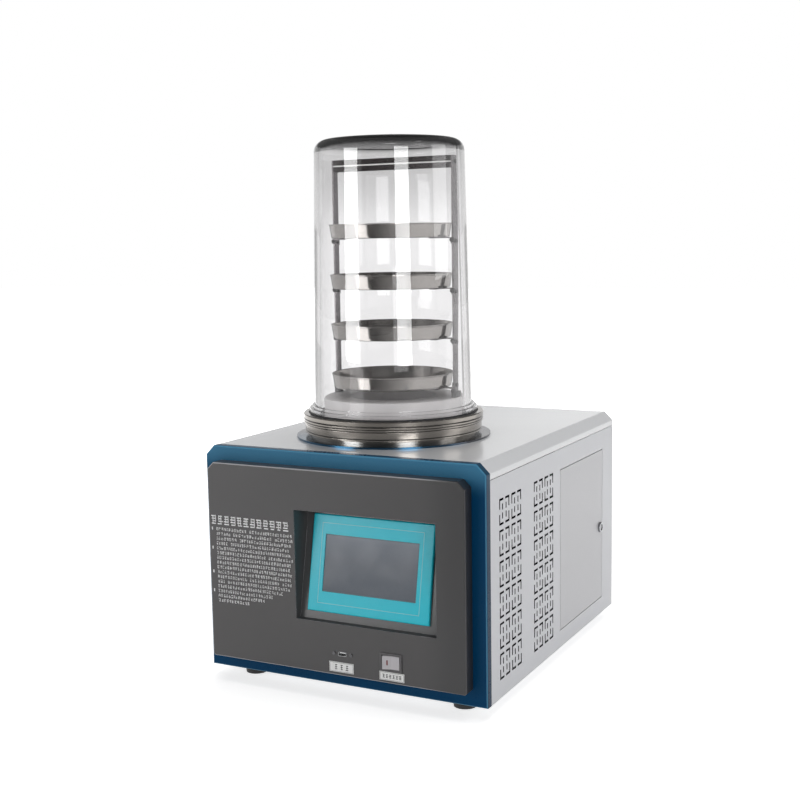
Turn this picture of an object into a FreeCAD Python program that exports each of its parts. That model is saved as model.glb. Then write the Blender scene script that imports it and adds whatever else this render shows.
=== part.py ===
import FreeCAD, Part
import math
import os

from FreeCAD import Vector

# Bench-top freeze dryer: a refrigerated cabinet with a cold trap under a clear drying chamber.
# Frame: x to the right, y towards the rear from the front frame's face, z up from the cabinet's underside.
# Everything is moved at the end so that the origin is the middle of the footprint, on the ground.

# Cabinet
cabinet_width = 497.0
cabinet_depth = 600.0
cabinet_height = 370.0
sheet = 1.2
edge_chamfer = 15.6
bend_radius = 3.0
seam_drop = 25.0
seam_gap = 0.8
return_width = 12.0
joggle_height = 14.0
base_sheet = 2.0
base_flange = 18.0
top_hole_margin = 12.0
screw_fit = 0.1
cover_screw_rise = 8.0
cover_screw_shares = (-0.4, 0.0, 0.4)

# Front frame and front panel
frame_sheet = 1.5
frame_flange = 15.0
frame_bend_radius = 2.5
panel_margin_left = 18.5
panel_margin_right = 23.5
panel_margin_bottom = 25.0
panel_margin_top = 23.0
panel_depth = 24.0
panel_sheet = 1.5
panel_return = 12.0
panel_chamfer = 11.5
panel_low_chamfer = 3.0
panel_bend_radius = 2.0

# Operator screen in its slanted recess
window_width = 245.0
window_height = 174.5
window_right_margin = 48.0
window_bottom_margin = 82.0
recess_top_depth = 46.0
recess_bottom_depth = 12.5
bezel_width = 213.0
bezel_height = 153.0
bezel_thickness = 5.0
bezel_lip = 1.0
bezel_shift = -1.8
bezel_edge_radius = 2.0
display_width = 164.0
display_height = 90.0
display_raise = 0.5
glass_overlap = 4.0
housing_border = 10.0
housing_depth = 32.0
cutout_clearance = 1.0

# Data socket, power rocker and the two blank label plates
socket_from_window = -39.7
socket_height = 35.0
socket_shell_width = 14.0
socket_shell_height = 6.6
socket_shell_wall = 0.5
socket_proud = 0.8
socket_body_depth = 16.0
socket_screw_spacing = 30.0
socket_screw_radius = 1.5
socket_screw_head = 2.6
socket_plate_width = 42.0
socket_plate_height = 14.0
socket_plate_thick = 2.0
socket_fit = 0.2
socket_floor = 3.0
tongue_width = 10.0
tongue_thick = 1.4
tongue_raise = 1.5
tongue_setback = 1.0
switch_from_window = 45.0
switch_height = 33.8
switch_width = 37.5
switch_tall = 28.5
switch_lip = 2.0
switch_rim = 2.4
switch_body_depth = 24.0
switch_well_depth = 16.0
switch_fit = 0.2
switch_wall = 1.0
switch_lip_round = 0.8
rocker_gap_sides = 1.6
rocker_gap_ends = 0.5
rocker_tilt = 9.0
rocker_pivot_depth = 4.0
rocker_pin_radius = 1.6
rocker_pin_length = 2.0
rocker_pin_play = 0.3
rocker_shoulder = 1.0
rocker_skirt = 7.0
rocker_skirt_share = 0.45
running_clearance = 0.05
label_thickness = 0.3
socket_label_width = 43.0
socket_label_height = 16.0
switch_label_width = 42.5
switch_label_height = 13.5
label_drop_socket = 21.7
label_drop_switch = 22.5
socket_label_shift = -2.5
switch_label_shift = 1.0

# Vents: cells of corner brackets round four short slots
vent_first = 49.0
vent_second = 192.0
vent_bottom = 29.0
vent_columns = 2
vent_rows = 6
cell_width = 39.7
cell_height = 40.7
cell_pitch_across = 48.2
cell_pitch_up = 48.0
slot_width = 3.4
bracket_arm = 16.4
short_slot_height = 9.4
short_slot_across = 6.9
short_slot_up = 6.8

# Access door and its cam lock
door_front = 314.0
door_width = 226.0
door_bottom = 30.0
door_tall = 279.0
door_gap = 1.2
door_return = 8.0
hinge_setback = 5.0
hinge_inset = 8.0
hinge_pin_radius = 2.0
hinge_tab = 2.0
hinge_tab_gap = 2.0
hinge_tab_width = 16.0
hinge_tab_reach = 10.0
lock_from_edge = 15.0
lock_height = 165.5
lock_head_radius = 9.5
lock_head_proud = 4.0
lock_head_round = 1.2
lock_body_radius = 8.0
lock_plug_radius = 6.0
lock_plug_proud = 3.0
lock_nut_across = 22.0
lock_nut_thick = 4.0
cam_thick = 2.0
cam_width = 12.0
cam_reach = 25.0
cam_square = 6.0
cam_clearance = 0.5
strike_sheet = 1.5
strike_height = 40.0
strike_depth = 16.0
strike_foot = 10.0
strike_gap = 0.5

# Feet
foot_height = 18.0
foot_radius = 20.0
foot_base_radius = 18.0
foot_inset_side = 57.0
foot_inset_end = 45.0
screw_radius = 3.0
screw_head_radius = 5.5
screw_head_height = 3.6
screw_length = 25.0
foot_screw_sink = 6.0
hole_clearance = 0.3

# Cold trap
trap_from_fan = 8.3
trap_from_front = 72.0
seal_plate_margin = 12.0
seal_plate_thick = 3.0
trap_hole_clearance = 3.0
pot_radius = 108.0
pot_wall = 1.5
pot_depth = 292.0
pot_corner = 12.0
pot_lip = 4.0
neck_inset = 10.0
neck_height = 6.5
ring_low_proud = 8.0
ring_low_height = 16.2
ring_high_proud = 10.5
ring_high_height = 15.3
ring_groove = 0.8
ring_edge = 1.2
seal_inset = 1.5
seal_section = 3.2
seal_groove_depth = 4.0
seal_play = 0.3
weld_gap = 0.15
coil_tube_radius = 4.75
coil_gap = 0.3
coil_rings = 7
coil_pitch = 23.0
coil_bottom = 34.0
coil_line_angle = 50.0
coil_line_reach = 50.0
jacket_thick = 22.7
jacket_clearance = 1.5
jacket_floor = 26.0

# Drying chamber
cover_wall = 8.5
cover_from_rack = 3.4
rack_headroom = 21.6
cover_base_proud = 8.8
cover_base_thick = 6.0
cover_step_proud = 4.3
cover_step_height = 4.6
cover_taper = 7.8
cover_corner = 20.0
cover_dome = 6.0
collar_from_pot = 8.5
collar_height = 26.0
collar_wall = 5.0
collar_hole_radius = 73.0
collar_tube_wall = 4.0
collar_tube_length = 180.0
collar_edge = 1.5

# Rack and trays
tray_count = 4
tray_gap = 7.3
tray_flare = 3.5
tray_sheet = 1.0
tray_height = 23.5
tray_rim_roll = 1.2
tray_corner = 4.0
tray_pitch = 82.2
tray_first_height = 15.8
rack_inset = 4.0
upright_width = 15.0
upright_thick = 3.0
upright_above_tray = 107.9
rack_offset_back = 6.0
bar_sheet = 2.0
bar_height = 20.0
bracket_sheet = 1.5
bracket_under = 18.7
bracket_forward = 30.0
bracket_leg = 9.0
bracket_rail_width = 10.0
rack_screw_radius = 1.9
rack_screw_head = 3.4
rack_screw_head_height = 1.8
rack_foot_height = 10.0
rack_foot_wall = 2.0

# Condenser and fan, behind the vents
condenser_side_gap = 12.0
condenser_thick = 40.0
condenser_bottom = 30.0
condenser_tall = 280.0
condenser_tubes = 8
condenser_tube_radius = 4.75
condenser_overhang = 6.0
fin_count = 24
fin_thick = 0.5
end_plate = 1.5
shroud_plate = 2.0
shroud_ring_depth = 26.0
shroud_ring_wall = 3.0
fan_radius = 92.0
fan_tip_gap = 4.0
fan_blades = 7
fan_blade_thick = 2.0
fan_blade_chord = 34.0
fan_blade_angle = 35.0
fan_hub_radius = 30.0
fan_hub_depth = 20.0
fan_shaft_radius = 3.0
fan_shaft_length = 20.0
fan_hub_gap = 3.0
motor_radius = 31.0
motor_length = 30.0
motor_shoulder = 2.5
motor_cup_wall = 4.0
strut_width = 12.0
strut_thick = 4.0

# Compressor and refrigerant pipes
compressor_x = -100.0
compressor_from_rear = 130.0
compressor_radius = 75.0
compressor_tall = 178.0
compressor_dome = 35.0
compressor_foot_width = 200.0
compressor_foot_depth = 130.0
compressor_foot_thick = 3.0
compressor_seam_share = 0.55
compressor_seam_height = 6.0
compressor_seam_proud = 2.0
discharge_share = 0.68
suction_share = 0.35
grommet_radius = 11.0
grommet_height = 18.0
grommet_waist = 2.5
grommet_waist_height = 4.0
stub_radius = 4.75
stub_length = 12.0
pipe_radius = 4.0
pipe_bend = 18.0
drier_radius = 13.0
drier_length = 100.0
drier_neck = 8.0
drier_from_side = 138.5
drier_y = 400.0
drier_z = 72.0
drier_bend_z = 36.0
pipe_behind_coil = 22.0
pipe_inboard = 50.0
discharge_reach = 60.0
suction_reach = 35.0

# Electrical plate, board, supply and the rear connectors
plate_from_side = 46.5
plate_front_gap = 22.0
plate_width = 196.0
plate_tall = 300.0
plate_sheet = 2.0
plate_foot = 20.0
standoff_length = 8.0
standoff_radius = 3.0
board_thick = 1.6
board_width = 130.0
board_tall = 140.0
board_from_top = 5.0
standoff_inset = 6.0
# Blocks on the board: count, first place along, pitch, width, foot's height, own height, standing out
relay_row = (4, 14.0, 27.0, 19.0, 14.0, 16.0, 15.0)
terminal_row = (6, 12.0, 18.0, 14.0, board_tall - 20.0, 12.0, 11.0)
chip = (1, 45.0, 0.0, 24.0, 62.0, 24.0, 3.0)
transformer = (1, 12.0, 0.0, 24.0, 48.0, 44.0, 18.0)
board_rows = (relay_row, terminal_row, chip, transformer)
capacitor_count = 3
capacitor_radius = 6.0
capacitor_tall = 16.0
capacitor_pitch = 18.0
capacitor_along = 95.0
capacitor_low = 52.0
supply_width = 140.0
supply_tall = 95.0
supply_deep = 36.0
supply_low = 30.0
supply_front_gap = 28.0
supply_slots = 9
supply_slot_pitch = 13.0
supply_slot_width = 5.0
supply_slot_depth = 3.0
supply_slot_margin = 18.0
supply_slot_first = 14.0
connector_flange_width = 50.0
connector_flange_height = 28.0
connector_flange_thick = 2.5
connector_body_width = 28.0
connector_body_height = 21.0
connector_body_depth = 26.0
connector_hollow = 18.0
connector_wall = 2.0
connector_fit = 0.2
pin_spacing = 7.0
pin_setback = 4.0
pin_drop = 2.0
earth_pin_raise = 3.0
pin_width = 2.0
pin_tall = 4.0
core_width = 19.0
core_tall = 12.0
core_setback = 1.0
core_hole_spacing = 6.0
core_hole_drop = 1.5
core_earth_raise = 2.0
core_hole_width = 2.6
core_hole_tall = 4.6
core_hole_depth = 14.0
inlet_x = -190.0
outlet_x = -125.0
connector_z = 70.0

# Vacuum line and drain
vacuum_pipe_radius = 14.0
vacuum_pipe_wall = 1.5
vacuum_drop = 93.0
vacuum_proud = 26.0
vacuum_flange_radius = 20.0
vacuum_flange_thick = 4.0
vacuum_flange_taper = 2.5
drain_x = 45.0
drain_z = 55.0
drain_pipe_radius = 6.0
drain_pipe_wall = 1.0
drain_bend = 20.0
drain_turn_back = 90.0
valve_radius = 12.0
valve_length = 32.0
valve_bore = 4.0
valve_nut_radius = 16.0
valve_nut_thick = 4.0
spigot_reach = 20.0
spigot_wall = 2.0
bonnet_wall = 3.0
bonnet_rise = 4.0
barb_radius = 6.0
barb_length = 16.0
barb_rings = 3
barb_pitch = 5.0
barb_ring_length = 4.5
barb_step = 1.0
stem_radius = 4.0
stem_sink = 4.0
lever_length = 48.0
lever_width = 11.0
lever_thick = 2.5
lever_gap = 0.3

# Places worked out from the sizes above
half_width = cabinet_width / 2
inner_side = half_width - sheet
seam_z = cabinet_height - seam_drop
panel_left = -half_width + panel_margin_left
panel_right = half_width - panel_margin_right
panel_bottom = panel_margin_bottom
panel_top = cabinet_height - panel_margin_top
panel_face = -panel_depth
panel_back = panel_face + panel_sheet
window_right = panel_right - window_right_margin
window_left = window_right - window_width
window_x = (window_left + window_right) / 2
window_bottom = panel_bottom + window_bottom_margin
window_top = window_bottom + window_height
recess_low_y = panel_face + recess_bottom_depth
recess_high_y = panel_face + recess_top_depth
screen_tilt = math.atan2(recess_high_y - recess_low_y, window_height)
socket_x = window_x + socket_from_window
socket_z = panel_bottom + socket_height
switch_x = window_x + switch_from_window
switch_z = panel_bottom + switch_height
door_rear = door_front + door_width
hinge_leg = door_bottom - hinge_tab_gap - hinge_tab - base_flange
door_top = door_bottom + door_tall
hinge_x = half_width - hinge_setback
hinge_y = door_front + door_gap + hinge_inset
lock_y = door_rear - lock_from_edge
cam_outer = half_width - door_return - strike_sheet - cam_clearance
rear_face = cabinet_depth - sheet
rear_inner = rear_face - sheet
plate_top = cabinet_height + seal_plate_thick
neck_top = plate_top + neck_height
step_z = neck_top + ring_low_height
flange_top = step_z + ring_high_height
pot_floor = flange_top - pot_depth
seal_z = flange_top - seal_groove_depth + seal_section
cover_foot = seal_z + seal_section
collar_top = flange_top + collar_height
coil_radius = pot_radius + coil_gap + coil_tube_radius
coil_outer = coil_radius + coil_tube_radius
jacket_bore = coil_outer + jacket_clearance
jacket_radius = jacket_bore + jacket_thick
collar_radius = pot_radius + collar_from_pot
upright_outer = collar_radius - rack_inset
upright_inner = upright_outer - upright_thick
tray_rim_radius = upright_inner - tray_gap
tray_floor_radius = tray_rim_radius - tray_flare
bracket_reach = tray_gap + bracket_under
cover_top_radius = upright_outer + cover_from_rack + cover_wall
cover_low_radius = cover_top_radius + cover_taper
cover_step_radius = cover_low_radius + cover_step_proud
cover_base_radius = cover_low_radius + cover_base_proud
seal_radius = cover_base_radius - seal_inset
ring_low_radius = cover_base_radius + ring_low_proud
ring_high_radius = cover_base_radius + ring_high_proud
neck_radius = ring_low_radius - neck_inset
seal_plate_radius = ring_high_radius + seal_plate_margin
jacket_bottom = pot_floor - pot_wall - jacket_floor
jacket_top = cabinet_height - sheet
vacuum_z = flange_top - vacuum_drop
tray_floors = [collar_top + tray_first_height + i * tray_pitch for i in range(tray_count)]
upright_bottom = collar_top + rack_foot_wall
upright_top = tray_floors[-1] + tray_height + upright_above_tray
cover_peak = upright_top + rack_headroom + cover_wall + cover_dome
bar_z = upright_top - bar_height
condenser_outer = inner_side - condenser_side_gap
condenser_inner = condenser_outer - condenser_thick
condenser_front = vent_first
condenser_rear = vent_second + cell_pitch_across + cell_width
fan_y = (condenser_front + condenser_rear) / 2
fan_z = condenser_bottom + condenser_tall / 2
fan_ring_x = condenser_inner - shroud_plate - shroud_ring_depth
trap_x = fan_ring_x - motor_length - trap_from_fan - jacket_radius
trap_y = trap_from_front + jacket_radius
compressor_y = cabinet_depth - compressor_from_rear
drier_x = half_width - drier_from_side
compressor_foot_z = base_sheet + grommet_height
valve_y = cabinet_depth - sheet + valve_nut_thick + valve_length / 2
up = Vector(0, 0, 1)
back = Vector(0, 1, 0)
right = Vector(1, 0, 0)
trap_axis = Vector(trap_x, trap_y, 0)
rack_y = trap_y + rack_offset_back
rack_screw_hole = rack_screw_radius + screw_fit
socket_screw_hole = socket_screw_radius + screw_fit
cover_screw_z = seam_z + cover_screw_rise
cover_screw_row = [share * cabinet_width for share in cover_screw_shares]
spigot_radius = drain_pipe_radius + spigot_wall
bonnet_top = drain_z + valve_radius + bonnet_rise
tube_end = condenser_rear + condenser_overhang


def block(x_low, x_high, y_low, y_high, z_low, z_high):
    size = (x_high - x_low, y_high - y_low, z_high - z_low)
    return Part.makeBox(*size, Vector(x_low, y_low, z_low))


def slab(center, width, depth, height):
    """A box centred on a point."""
    x, y, z = center
    return block(x - width / 2, x + width / 2, y - depth / 2, y + depth / 2, z - height / 2, z + height / 2)


def rod(radius, length, base, direction=up):
    return Part.makeCylinder(radius, length, Vector(*base), direction)


def pipe_piece(radius, bore, length, base, direction=up):
    return rod(radius, length, base, direction).cut(rod(bore, length, base, direction))


def prism(points, travel):
    """Extrude the closed polygon through the points along a vector."""
    corners = [Vector(*p) for p in points]
    return Part.Face(Part.makePolygon(corners + corners[:1])).extrude(travel)


def turned(profile):
    """Turn (radius, height) points about the cold trap's vertical axis."""
    corners = [Vector(r, 0, z) for r, z in profile]
    face = Part.Face(Part.makePolygon(corners + corners[:1]))
    solid = face.revolve(Vector(0, 0, 0), up, 360)
    solid.translate(trap_axis)
    return solid


def fused(pieces):
    whole = pieces[0].fuse(pieces[1:])
    return whole.removeSplitter()


def rounded(solid, radius, chosen):
    """Round the edges for which chosen(edge's middle, edge's direction) holds."""
    edges = []
    for edge in solid.Edges:
        ends = [v.Point for v in edge.Vertexes]
        if len(ends) == 2:
            middle = (ends[0] + ends[1]) * 0.5
            if chosen(middle, ends[1] - ends[0]):
                edges.append(edge)
    return solid.makeFillet(radius, edges)


def bent_pipe(points, radius, bend, bore=0.0):
    """A round pipe along straight runs joined by tangent arcs."""
    stops = [Vector(*p) for p in points]
    edges = []
    last = stops[0]
    for before, corner, after in zip(stops, stops[1:], stops[2:]):
        into = (corner - before).normalize()
        out = (after - corner).normalize()
        turn = into.getAngle(out)
        reach = bend * math.tan(turn / 2)
        start = corner - into * reach
        end = corner + out * reach
        bulge = (out - into).normalize()
        center = corner + bulge * (bend / math.cos(turn / 2))
        middle = center - bulge * bend
        edges.append(Part.LineSegment(last, start).toShape())
        edges.append(Part.Arc(start, middle, end).toShape())
        last = end
    edges.append(Part.LineSegment(last, stops[-1]).toShape())
    path = Part.Wire(edges)
    direction = (stops[1] - stops[0]).normalize()

    def sweep(section_radius):
        circle = Part.Wire(Part.makeCircle(section_radius, stops[0], direction))
        return path.makePipeShell([circle], True, True)

    outside = sweep(radius)
    if bore:
        return outside.cut(sweep(bore))
    return outside


# Cabinet

def cabinet_outline(inset, y, z_low):
    """The cabinet's front outline with its two chamfered top corners, moved in by inset."""
    side = half_width - inset
    top = cabinet_height - inset
    cut = edge_chamfer - (2 - math.sqrt(2)) * inset
    corners = [(-side, z_low), (-side, top - cut), (-side + cut, top)]
    corners += [(side - cut, top), (side, top - cut), (side, z_low)]
    return [(x, y, z) for x, z in corners]


def base_pan():
    outer = block(-inner_side, inner_side, frame_flange, rear_inner, 0, base_flange)
    hollow = block(
        -inner_side + base_sheet, inner_side - base_sheet,
        frame_flange + base_sheet, rear_inner - base_sheet, base_sheet, base_flange,
    )
    pan = outer.cut(hollow)
    places = foot_places() + compressor_screw_places()
    holes = [rod(screw_radius + hole_clearance, base_sheet, (x, y, 0)) for x, y in places]
    return pan.cut(holes)


def foot_places():
    x = half_width - foot_inset_side
    rows = (foot_inset_end, cabinet_depth - foot_inset_end)
    return [(side * x, y) for side in (-1, 1) for y in rows]


def compressor_screw_places():
    dx = compressor_foot_width / 2 - grommet_radius
    dy = compressor_foot_depth / 2 - grommet_radius
    return [(compressor_x + i * dx, compressor_y + j * dy) for i in (-1, 1) for j in (-1, 1)]


def loop(points):
    corners = [Vector(*p) for p in points]
    return Part.makePolygon(corners + corners[:1])


def rectangle(x, y_low, y_high, z_low, z_high):
    return loop([(x, y_low, z_low), (x, y_high, z_low), (x, y_high, z_high), (x, y_low, z_high)])


def vent_cell(x, y, z):
    """One cell's openings: four corner brackets and four short slots, centred on (y, z)."""
    openings = []
    for i in (-1, 1):
        for j in (-1, 1):
            y_out = y + i * cell_width / 2
            z_out = z + j * cell_height / 2
            y_in = y_out - i * slot_width
            z_in = z_out - j * slot_width
            y_end = y_out - i * bracket_arm
            z_end = z_out - j * bracket_arm
            corner = [(y_out, z_out), (y_end, z_out), (y_end, z_in)]
            corner += [(y_in, z_in), (y_in, z_end), (y_out, z_end)]
            openings.append(loop([(x, a, b) for a, b in corner]))
            y_slot = y + i * short_slot_across
            z_slot = z + j * short_slot_up
            half_w = slot_width / 2
            half_h = short_slot_height / 2
            slot = rectangle(x, y_slot - half_w, y_slot + half_w, z_slot - half_h, z_slot + half_h)
            openings.append(slot)
    return openings


def vent_openings(x):
    openings = []
    for start in (vent_first, vent_second):
        for column in range(vent_columns):
            for row in range(vent_rows):
                y = start + cell_width / 2 + column * cell_pitch_across
                z = vent_bottom + cell_height / 2 + row * cell_pitch_up
                openings += vent_cell(x, y, z)
    return openings


def side_panel(with_door):
    """The right-hand side panel: a pierced sheet with returns at its ends and a joggle under the cover."""
    outline = rectangle(inner_side, frame_flange, cabinet_depth, 0, seam_z - seam_gap)
    openings = vent_openings(inner_side)
    if with_door:
        openings.append(rectangle(inner_side, door_front, door_rear, door_bottom, door_top))
    skin = Part.Face([outline] + openings).extrude(right * sheet)
    strip_low = seam_z - joggle_height
    strip_high = cabinet_height - edge_chamfer - sheet
    inner_edge = inner_side - return_width
    pieces = [skin]
    for y in (frame_flange, rear_inner - sheet):
        pieces.append(block(inner_edge, inner_side, y, y + sheet, base_flange, strip_low))
    pieces.append(block(inner_side - sheet, inner_side, frame_flange, rear_inner, strip_low, strip_high))
    return fused(pieces)


def mirrored(solid):
    return solid.mirror(Vector(0, 0, 0), right)


def rear_panel():
    outline = cabinet_outline(sheet, rear_inner, 0)
    skin = prism(outline, back * sheet)
    cuts = [rod(vacuum_pipe_radius + hole_clearance, sheet, (trap_x, rear_inner, vacuum_z), back)]
    cuts.append(rod(spigot_radius + hole_clearance, sheet, (drain_x, rear_inner, drain_z), back))
    for x in (inlet_x, outlet_x):
        center = (x, rear_inner + sheet / 2, connector_z)
        width = connector_body_width + 2 * connector_fit
        height = connector_body_height + 2 * connector_fit
        cuts.append(slab(center, width, sheet, height))
    cuts += [rod(rack_screw_hole, sheet, (x, rear_inner, cover_screw_z), back) for x in cover_screw_row]
    return skin.cut(cuts)


def top_cover():
    outer = prism(cabinet_outline(0, frame_flange, seam_z), back * (cabinet_depth - frame_flange))
    lines = (seam_z + 1, cabinet_height + 1)
    outer = rounded(
        outer, bend_radius,
        lambda middle, run: abs(run.y) > 100 and lines[0] < middle.z < lines[1],
    )
    inner = prism(cabinet_outline(sheet, frame_flange, seam_z), back * (rear_face - frame_flange))
    hole_radius = pot_radius + pot_lip + top_hole_margin
    hole = rod(hole_radius, 2 * sheet, (trap_x, trap_y, cabinet_height - 2 * sheet))
    screws = [rod(rack_screw_hole, sheet, (x, rear_face, cover_screw_z), back) for x in cover_screw_row]
    return outer.cut([inner, hole] + screws)


def cover_screws():
    return [rear_screw(x) for x in cover_screw_row]


def rear_screw(x):
    head = rod(rack_screw_head, rack_screw_head_height, (x, cabinet_depth, cover_screw_z), back)
    shank = rod(rack_screw_radius, 3 * sheet, (x, cabinet_depth - 3 * sheet, cover_screw_z), back)
    return fused([head, shank])


def front_frame():
    outer = prism(cabinet_outline(0, 0, 0), back * frame_flange)
    outer = rounded(outer, frame_bend_radius, lambda middle, run: abs(middle.y) < 0.01)
    inner = prism(cabinet_outline(frame_sheet, frame_sheet, frame_sheet), back * (frame_flange - frame_sheet))
    opening = prism(panel_outline(panel_return, 0), back * frame_sheet)
    return outer.cut([inner, opening])


def panel_outline(inset, y):
    """The front panel's outline with chamfered corners, moved in by inset."""
    left = panel_left + inset
    right_edge = panel_right - inset
    low = panel_bottom + inset
    high = panel_top - inset
    cut = max(panel_chamfer - (2 - math.sqrt(2)) * inset, 1)
    small = max(panel_low_chamfer - (2 - math.sqrt(2)) * inset, 1)
    corners = [(left + small, low), (left, low + small), (left, high - cut), (left + cut, high)]
    corners += [(right_edge - cut, high), (right_edge, high - cut)]
    corners += [(right_edge, low + small), (right_edge - small, low)]
    return [(x, y, z) for x, z in corners]


def front_panel():
    outer = prism(panel_outline(0, panel_face), back * panel_depth)
    outer = rounded(outer, panel_bend_radius, lambda middle, run: abs(middle.y - panel_face) < 0.01)
    hollow = prism(panel_outline(panel_sheet, panel_back), back * (panel_depth - 2 * panel_sheet))
    mouth = prism(panel_outline(panel_return, -panel_sheet), back * panel_sheet)
    window = block(window_left, window_right, panel_face, panel_back, window_bottom, window_top)
    middle_y = panel_face + panel_sheet / 2
    socket = slab((socket_x, middle_y, socket_z), socket_shell_width, panel_sheet, socket_shell_height)
    switch_w = switch_width - 2 * switch_rim + 2 * switch_fit
    switch_h = switch_tall - 2 * switch_rim + 2 * switch_fit
    switch = slab((switch_x, middle_y, switch_z), switch_w, panel_sheet, switch_h)
    cuts = [hollow, mouth, window, socket, switch]
    cuts += [rod(socket_screw_hole, panel_sheet, (x, panel_face, socket_z), back) for x in socket_screw_row()]
    return outer.cut(cuts)


def socket_screw_row():
    return [socket_x + side * socket_screw_spacing / 2 for side in (-1, 1)]


# Operator screen

def on_slope(solid):
    """Lean a solid drawn upright round the origin back onto the recess's sloping plate."""
    leaned = solid.copy()
    leaned.rotate(Vector(0, 0, 0), right, -math.degrees(screen_tilt))
    middle_y = (recess_low_y + recess_high_y) / 2
    leaned.translate(Vector(window_x + bezel_shift, middle_y, (window_bottom + window_top) / 2))
    return leaned


def screen_recess():
    slope = (recess_high_y - recess_low_y) / window_height
    back_step = sheet / math.cos(screen_tilt)
    low = window_bottom - sheet
    high = window_top + sheet
    outer = [
        (window_left - sheet, panel_back, low),
        (window_left - sheet, recess_low_y - slope * sheet + back_step, low),
        (window_left - sheet, recess_high_y + slope * sheet + back_step, high),
        (window_left - sheet, panel_back, high),
    ]
    inner = [
        (window_left, panel_back, window_bottom),
        (window_left, recess_low_y, window_bottom),
        (window_left, recess_high_y, window_top),
        (window_left, panel_back, window_top),
    ]
    tray = prism(outer, right * (window_width + 2 * sheet)).cut(prism(inner, right * window_width))
    width = bezel_width - 2 * housing_border + 2 * cutout_clearance
    height = bezel_height - 2 * housing_border + 2 * cutout_clearance
    return tray.cut(on_slope(slab((0, 0, 0), width, 6 * sheet, height)))


def glass_pane():
    """The display glass, or the pocket for it, drawn upright round the origin."""
    half_w = display_width / 2 + glass_overlap
    half_h = display_height / 2 + glass_overlap
    low = display_raise - half_h
    high = display_raise + half_h
    return block(-half_w, half_w, -bezel_thickness + bezel_lip, 0, low, high)


def screen_bezel():
    half_w = bezel_width / 2
    half_h = bezel_height / 2
    plate = block(-half_w, half_w, -bezel_thickness, 0, -half_h, half_h)
    plate = rounded(plate, bezel_edge_radius, lambda middle, run: middle.y < -bezel_thickness + 0.01)
    center = (0, -bezel_thickness / 2, display_raise)
    opening = slab(center, display_width, bezel_thickness, display_height)
    return on_slope(plate.cut([opening, glass_pane()]))


def screen_glass():
    return on_slope(glass_pane())


def screen_housing():
    half_w = bezel_width / 2 - housing_border
    half_h = bezel_height / 2 - housing_border
    return on_slope(block(-half_w, half_w, 0, housing_depth, -half_h, half_h))


# Controls on the front panel

def data_socket():
    front = panel_face - socket_proud
    center_y = front + socket_body_depth / 2
    width = socket_shell_width - socket_fit
    height = socket_shell_height - socket_fit
    shell = slab((socket_x, center_y, socket_z), width, socket_body_depth, height)
    inner_w = width - 2 * socket_shell_wall
    inner_h = height - 2 * socket_shell_wall
    depth = socket_body_depth - socket_floor
    hollow = slab((socket_x, front + depth / 2, socket_z), inner_w, depth, inner_h)
    tongue_y = front + tongue_setback + depth / 2
    tongue_z = socket_z + tongue_raise
    tongue = slab((socket_x, tongue_y, tongue_z), tongue_width, depth - tongue_setback, tongue_thick)
    flange = block(
        socket_x - socket_plate_width / 2, socket_x + socket_plate_width / 2,
        panel_back, panel_back + socket_plate_thick,
        socket_z - socket_plate_height / 2, socket_z + socket_plate_height / 2,
    )
    thick = socket_plate_thick
    holes = [rod(socket_screw_hole, thick, (x, panel_back, socket_z), back) for x in socket_screw_row()]
    flange = flange.cut(holes)
    return fused([fused([shell, flange]).cut(hollow), tongue])


def socket_screws():
    screws = []
    for x in socket_screw_row():
        head = rod(socket_screw_head, 1.4, (x, panel_face - 1.4, socket_z), back)
        slot = slab((x, panel_face - 1.4, socket_z), 0.7, 1.0, 2 * socket_screw_head)
        shank = rod(socket_screw_radius, 6, (x, panel_face, socket_z), back)
        screws.append(fused([head.cut(slot), shank]))
    return screws


def switch_pivot():
    return (switch_x, panel_face + rocker_pivot_depth, switch_z)


def rocker_half_size():
    """Half the rocker's width across its travel and half its height along the pivot."""
    opening_w = switch_width / 2 - switch_rim - switch_wall
    opening_h = switch_tall / 2 - switch_rim - switch_wall
    return opening_w - rocker_gap_sides, opening_h - rocker_gap_ends


def switch_housing():
    x, y, z = switch_pivot()
    lip = slab((x, panel_face - switch_lip / 2, z), switch_width, switch_lip, switch_tall)
    front = panel_face - switch_lip
    lip = rounded(lip, switch_lip_round, lambda middle, run: middle.y < front + 0.01)
    body_w = switch_width - 2 * switch_rim
    body_h = switch_tall - 2 * switch_rim
    body = slab((x, panel_face + switch_body_depth / 2, z), body_w, switch_body_depth, body_h)
    half_w, half_h = rocker_half_size()
    well_w = half_w + rocker_gap_sides
    well_h = half_h + rocker_gap_ends
    well = block(x - well_w, x + well_w, front, panel_face + switch_well_depth, z - well_h, z + well_h)
    reach = half_h + rocker_pin_length + rocker_pin_play
    bores = rod(rocker_pin_radius + running_clearance, 2 * reach, (x, y, z - reach))
    return fused([lip, body]).cut([well, bores])


def power_rocker():
    """The rocker in its off position: its left half stands out and its right half lies level."""
    x, y, z = switch_pivot()
    half_w, half_h = rocker_half_size()
    crest = rocker_pivot_depth + switch_lip
    rise = half_w * math.tan(math.radians(rocker_tilt))
    profile = [(-half_w, -crest - rise), (0, -crest), (half_w, -crest - rise)]
    skirt_w = half_w * rocker_skirt_share
    profile += [(half_w, -rocker_shoulder), (skirt_w, rocker_skirt)]
    profile += [(-skirt_w, rocker_skirt), (-half_w, -rocker_shoulder)]
    body = prism([(x + a, y + b, z - half_h) for a, b in profile], up * (2 * half_h))
    pins = rod(rocker_pin_radius, 2 * (half_h + rocker_pin_length), (x, y, z - half_h - rocker_pin_length))
    rocker = fused([body, pins])
    rocker.rotate(Vector(x, y, z), up, rocker_tilt)
    return rocker


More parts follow.
